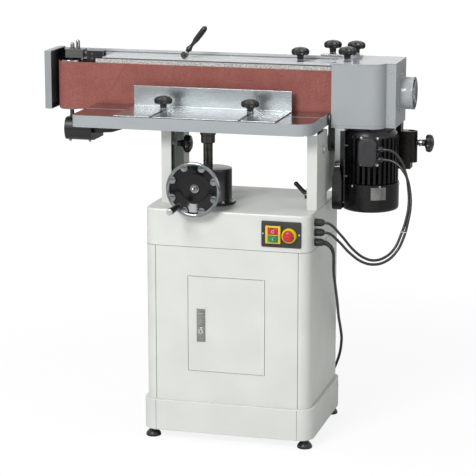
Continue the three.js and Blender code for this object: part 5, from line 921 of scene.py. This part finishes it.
def belt_line(inset):
    """The band seen from above, drawn in by `inset`: a straight front, an arc round the drum, the slanting
    back and an arc round the idler. The back leaves both arcs at 90 degrees plus the tangent's angle,
    asin((R - r) / distance) + atan2(dy, dx)."""
    gap = DRUM - IDLER
    lean = np.arcsin((DRUM_OUT - IDLER_OUT) / np.hypot(*gap)) + np.arctan2(gap[1], gap[0])
    front = np.linspace(IDLER[0], DRUM[0], 24)[:-1]
    straight = np.stack([front, np.full(len(front), BELT_FRONT + inset)], 1)
    turn = np.linspace(-np.pi / 2, np.pi / 2 + lean, ARC_STEPS)
    drum = DRUM + (DRUM_OUT - inset) * np.stack([np.cos(turn), np.sin(turn)], 1)
    turn = np.linspace(np.pi / 2 + lean, np.pi * 1.5, ARC_STEPS)[:-1]
    idler = IDLER + (IDLER_OUT - inset) * np.stack([np.cos(turn), np.sin(turn)], 1)
    back = drum[-1] + (idler[0] - drum[-1]) * np.linspace(0, 1, 24)[1:-1, None]
    return np.concatenate([straight, drum, back, idler])


outer, inner = belt_line(0), belt_line(BELT_THICK)
levels = np.linspace(BELT_LOW, BELT_HIGH, 5)
rows = [np.column_stack([outer, np.full(len(outer), z)]) for z in levels]
rows += [np.column_stack([inner, np.full(len(inner), z)]) for z in levels[::-1]]
belt_grid = np.array(rows + rows[:1])

# Closed-coat grit: brick red, with every grain a fleck lighter or darker. The grains are drawn at 2 mm so
# that they show.
grit, tree, shader, coords = begin("aluminium_oxide_grit", "9c5752", 0.85)
fine = add(tree, "TexNoise", {"Vector": coords, "Scale": 480, "Detail": 2.0, "Roughness": 0.7})
broad = add(tree, "TexNoise", {"Vector": coords, "Scale": 22, "Detail": 3.0})
fleck = add(tree, "MapRange", {"Value": fine.outputs[0], "From Min": 0.4, "From Max": 0.6})
tone = both_of(tree, fleck.outputs[0], linear("83433d"), linear("ab6c64"))
drift = add(tree, "MapRange", {"Value": broad.outputs[0], "From Min": 0.4, "From Max": 0.7, "To Min": 0.0,
                               "To Max": 0.3})
tone = both_of(tree, drift.outputs[0], tone, linear("833f3a"))
# The splice is a dark line on the front run where x - 0.62 z = -1.045 m.
SPLICE_SLOPE, SPLICE_AT, FRONT_UP_TO = -0.62, -1.045, 0.1035
across = add(tree, "SeparateXYZ", {0: coords})
slant = add(tree, "Math", {0: across.outputs[2], 1: SPLICE_SLOPE, 2: across.outputs[0]},
            operation="MULTIPLY_ADD")
splice = add(tree, "Math", {0: slant.outputs[0], 1: SPLICE_AT}, operation="SUBTRACT")
splice = add(tree, "Math", {0: splice.outputs[0]}, operation="ABSOLUTE")
splice = add(tree, "MapRange", {"Value": splice.outputs[0], "From Min": 0.0012, "From Max": 0.004,
                                "To Min": 0.22, "To Max": 0.0})
front_only = masked(tree, coords, 1, FRONT_UP_TO, False)
splice = add(tree, "Math", {0: splice.outputs[0], 1: front_only}, operation="MULTIPLY")
tree.links.new(both_of(tree, splice.outputs[0], tone, linear("7a332e")), shader.inputs["Base Color"])
relief(tree, shader, fine.outputs[0], 0.35)
# The backing is drab polyester cloth, whose twill is drawn at 2 mm.
backing, tree, shader, coords = begin("polyester_backing", "8a6a4c", 0.8)
twill = add(tree, "TexWave", {"Vector": coords, "Scale": 300, "Distortion": 1.0}, bands_direction="DIAGONAL")
mottle(tree, shader, coords, "Base Color", 14, "7d5f44", "977654")
relief(tree, shader, twill.outputs[0], 0.15)
band = skin("sanding_belt", [belt_grid], grit, "belt", ("abrasive_belt",), sharp=50)
band.data.materials.append(backing)
# Faces whose normals point to the line through both rollers' middles show the backing.
centres, normals = np.zeros((2, len(band.data.polygons), 3))
for what, values in (("center", centres), ("normal", normals)):
    band.data.polygons.foreach_get(what, values.ravel())
left, right = metres((*IDLER, 0))[0], metres((*DRUM, 0))[0]
core = np.column_stack([np.clip(centres[:, 0], left, right), np.full(len(centres), metres((0, 310, 0))[1])])
facing_in = ((centres[:, :2] - core) * normals[:, :2]).sum(1) < -1e-4
band.data.polygons.foreach_set("material_index", facing_in.astype(np.int32))


# The rollers
#
# The drive drum is a turned steel cup on the motor's shaft. The idler is a chromed roller on a plain shaft;
# its fork block slides to stretch the belt, and the gear case under it lifts the shaft by a few millimetres
# and lets it down again.

copied("drive_drum", zinc, 32)
IDLE = [(7.1, 980.5), (37.0, 980.5), (37.7, 981.5), (37.7, 1136.5), (37.2, 1137.5), (34.2, 1137.5),
        (34.2, 1109.5), (13.6, 1109.5), (13.6, 1116.5), (7.1, 1116.5), (7.1, 980.5)]
skin("idler_drum", [turned(IDLE, (*IDLER, 0), "z", 96)], chrome, "idler", ("idler_roller",))
copied("idler_shaft", black_oxide, 40)
# Dark grey satin enamel over the idler's ground fork block.
slide_coat = sprayed("dark_grey_enamel", "575756", "5f5f5e", 0.32, 2.6, 0.01)
copied("idler_carriage", slide_coat, 32, 0.6)
STUD, BLOCK_TOP = [(0, 0, 0), (9.6, 0, 0), (9.6, 1.6, 0), (7.4, 1.7, 1), (7.4, 8.5, 1), (6.6, 9.4, 0)], 1171
for name, x, top in (("tracking_stud", -590, 1191.3), ("clamp_stud", -571, 1200.3)):
    height = top - BLOCK_TOP
    cap = [(6.6, height - 6.5, 0), (6.2, height - 3.8, 0), (4.8, height - 1.6, 0), (2.6, height - 0.4, 0),
           (0, height, 0)]
    skin(name, [turned(STUD + cap, (x, IDLER[1], BLOCK_TOP), "z", 48, edges=6)], chrome,
         nodes["idler_carriage"]["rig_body"])
bolts("track_block_bolts", [(-518.5, 284, z) for z in (1158.5, 1143)], "-y", 2.8, 2.6, "hex", "head", chrome)
copied("osc_housing", black_gloss, 32, 1.2)
copied("osc_wheel", zinc)
bolts("gear_case_screws", [(x, y, 879) for y in (292, 372) for x in (-599, -533)], "-z", 3.6, 5.5, "socket",
      "head")


# The tension lever
#
# A steel barrel that turns on a cross bolt, a turned neck, and a moulded grip that swells towards its end.

LEVER, LEVER_LEAN = np.array((-217, 300, 1163.8)), np.radians(38)
lean = np.array((np.sin(LEVER_LEAN), 0, np.cos(LEVER_LEAN)))
reach = np.array([14, 14.4, 18, 18.4, 20.5, 23, 27, 33, 40, 50, 58, 64, 80, 98, 106, 110.5, 113.4, 114.6])
girth = np.array([5, 7, 7, 6.6, 9.6, 10, 8.6, 6.4, 5.4, 6.4, 8.6, 9.2, 9.4, 9.4, 8.8, 7.1, 4.6, 2.2])
skin("lever_grip", [swept(LEVER + reach[:, None] * lean, girth, 32)], grip_plastic, "lever",
     ("tension_lever",))
skin("lever_neck", [swept(LEVER + np.array([4, 9, 14.2])[:, None] * lean, (6, 6, 6), 24)], nickel, "lever")
BARREL = [(0, -12), (9.2, -12), (10, -11.2), (10, 11.2), (9.2, 12), (0, 12)]
skin("lever_clevis", [turned(BARREL, LEVER, "y", 48), *bolt(LEVER - (0, 12, 0), "-y", 4.5, 2.6, "hex")],
     black_oxide, "lever")


# The drum housing
#
# Grey enamelled sheet steel: a front cover that bulges round the drum, a box behind it with the dust port,
# and a lid with a strap that two star knobs hold.

# Semi-gloss grey enamel on sheet steel, smooth enough on the lid to mirror the knobs that stand on it.
grey_coat = sprayed("grey_enamel", "b0b5b9", "adb2b6", 0.14, 3.2, 0.004)
for node in ("drum_cover", "drum_housing", "drum_lid"):
    copied(node, grey_coat, 32, 0.8)
star_knob("lid_star_knob", "knob_lid", (304.5, 300, 1161.1))
STRAP_Y, LID_TOP = 400, 1160.8
for name, node, x in (("strap_star_knob_left", "knob_strap_left", 237),
                      ("strap_star_knob_right", "knob_strap_right", 312)):
    star_knob(name, node, (x, STRAP_Y, 1167.8))
skin("strap_plate", [slab((265, STRAP_Y, 1167.4), 131, 29, 0.9, 3, axis="z", ease=0.4)], bright_sheet, "head")
bolts("cover_screws", [(444.6, 282, z) for z in (1133.3, 990.1)], "-y", 3.0, 2.0, "socket", "head")
LID_SCREWS = [(x, y, LID_TOP) for x, y in ((446.7, 358.8), (446.7, 440), (290, 440))]
bolts("lid_screws", LID_SCREWS, "z", 2.2, 1.4, "pan", "head")
# The dust port: a point on its axis, where along it the ring of screws and the guard stand, and the ring's
# radius.
OUTLET, RING_X, GUARD_X, RING_RADIUS = np.array((0, 366, 1060)), 465, 500, 55
RING_AT = [OUTLET + RING_X * X + RING_RADIUS * (np.cos(a) * Y + np.sin(a) * Z)
           for a in np.radians(30 + 60 * np.arange(6))]
bolts("port_ring_screws", RING_AT, "x", 1.5, 1.0, "pan", "head")
LIP = [(47.4, 461), (47.4, 505), (50.4, 505), (51, 503.6), (51, 500), (50.2, 498.6), (50, 466), (50, 461),
       (47.4, 461)]
skin("port_lip", [turned(LIP, OUTLET, "x", 96)], grey_coat, "head")
spokes = [swept([OUTLET + GUARD_X * X + r * (np.cos(a) * Y + np.sin(a) * Z) for r in (10, 29, 47.8)],
                (3.4, 3, 3.4), 12) for a in np.radians((45, 135, 225, 315))]
GUARD_HUB = [(7, 494), (15, 494), (16, 496), (16, 502), (15, 503.6), (7, 503.6), (7, 494)]
skin("port_guard", [*spokes, turned(GUARD_HUB, OUTLET, "x", 48)], light_coat, "head")


# The motor
#
# A finned cast body with a pressed fan cover, painted black, bolted by its feet to a folded plate under the
# housing. Its terminal box has a dark moulded lid. A bridge handle and the holder of an auxiliary table stand
# beside it.

copied("motor_plate", light_coat, 32, 0.8)
skin("motor_foot_rail", [slab((304.5, 240.4, 843), 13, 222, 2.4, 1)], black_gloss, "head")
# Duller black paint on the rough fins, which swallow the light between them.
motor_paint = sprayed("motor_black_paint", "0e0e0e", "141414", 0.27, 4, 0.015, Specular_IOR_Level=0.35)
copied("motor", motor_paint, 40)
# Moulded terminal box lid: dark grey-violet, with a spark-eroded satin.
lid_plastic = moulded("moulded_terminal_lid", "2a292c", "302f32", 0.36, 1.4, 0.02)
BOX_X, BOX_Z = 391.5, 896.5
skin("terminal_box_lid", [slab((BOX_X, 205, BOX_Z), 55, 85, 12.8, 12, ease=1.4, steps=2)], lid_plastic,
     "head", ("terminal_box",))
skin("terminal_box_body", [slab((BOX_X, 248.6, BOX_Z), 51, 81, 43.4, 9, steps=2),
                           slab((394.5, 217, 898), 58, 90, 4.5, 6, steps=2)],
     black_gloss, "head")
bolts("terminal_box_screws", [(x, 212.5, z) for x in (369.5, 419.5) for z in (857, 939)], "-y", 3, 2, "pan",
      "head")
BOX_GLAND = [(0, 0, 1), (10.5, 0, 1), (10.5, 6, 1), (9.6, 6.8, 0), (9.6, 13, 0), (8, 17.4, 0), (5, 19, 0),
             (0, 19, 0)]
skin("terminal_box_glands", [turned(BOX_GLAND, (417.6, 216, z), "x", 48, edges=6) for z in (905, 874)],
     black_nylon, "head")
FEET_AT = [(y, z) for y in (264.5, 374.5) for z in (809, 905)]
FOOT_STUD = [(0, 0), (3.6, 0), (3.6, 13), (2.8, 14), (0, 14)]
heads = [part for y, z in FEET_AT for part in bolt((299.3, y, z), "x", 6, 5, "hex")]
studs = [turned(FOOT_STUD, (305.3, y, z), "x", 20) for y, z in FEET_AT]
skin("motor_foot_bolts", heads + studs, zinc, "head")
# The motor stands under the drum, on the same middle.
fan_middle = np.array((*DRUM, 783))
fan_ways = [np.cos(a) * X + np.sin(a) * Y for a in np.radians((-118, -60, 0, 60, 120, 180))]
skin("fan_cover_screws", [swept([fan_middle + r * way for r in (87, 90.4, 92)], (3.6, 3.6, 2.2), 16)
                          for way in fan_ways], zinc, "head")
PLATE = [(88.6, 742), (89.7, 742), (89.7, 745), (89.7, 778), (89.7, 781), (88.6, 781), (88.6, 742)]
skin("blank_plate", [arched(DRUM, PLATE, -78, -47, 14)], stainless, "head", around=False)

copied("pull_handle", knob_plastic, 32, 2.6)
bolts("pull_handle_screws", [(297, 225, z) for z in (852.5, 721.5)], "-y", 3.6, 1.6, "socket", "head")
# Blued steel tube and block: dark, with a sharp upright highlight.
blued = clouded("blued_steel", "2e2c2a", 0.28, None, (8, 0.25, 0.32), 0.005, 0.9)
copied("aux_holder", blued, 32, 0.6)
star_knob("aux_star_knob", "aux_knob", (516.8, 400, 900), "x")


# The plug
#
# A round moulded rubber plug with a ribbed neck and two nickel-plated pins, lying on the floor at the end of
# the coil.

tail_way = np.array((np.sin(TAIL_BEND), np.cos(TAIL_BEND), 0))
tail_end = lead_points[-1]
NECK, PIN_OUT = 26, 9.5
reach = np.linspace(0.3, NECK, 25)
neck = 7 + 1.6 * reach / NECK - 1.1 * (np.arange(25) % 2) * (reach > 3)
shape = np.concatenate([neck, [12.6, 15.4, 17.0, 17.6, 17.4, 17.0, 17.4, 17.6, 17.6, 16.4, 13.5]])
reach = np.concatenate([reach, [27.5, 30, 33, 37, 42, 46, 50, 54, 59.6, 61.6, 62.2]])
plug_rubber = moulded("moulded_rubber", "232324", "2b2b2c", 0.5)
skin("plug_body", [swept(tail_end + reach[:, None] * tail_way, shape, 40)], plug_rubber, "stand",
     ("mains_plug",))
side_way = np.array((tail_way[1], -tail_way[0], 0))
pins = [swept(tail_end + side_way * side * PIN_OUT + np.array([[62], [78], [80.4], [81.4]]) * tail_way,
              (2.4, 2.4, 2.1, 1.1), 16) for side in (-1, 1)]
skin("plug_pins", pins, nickel, "stand")
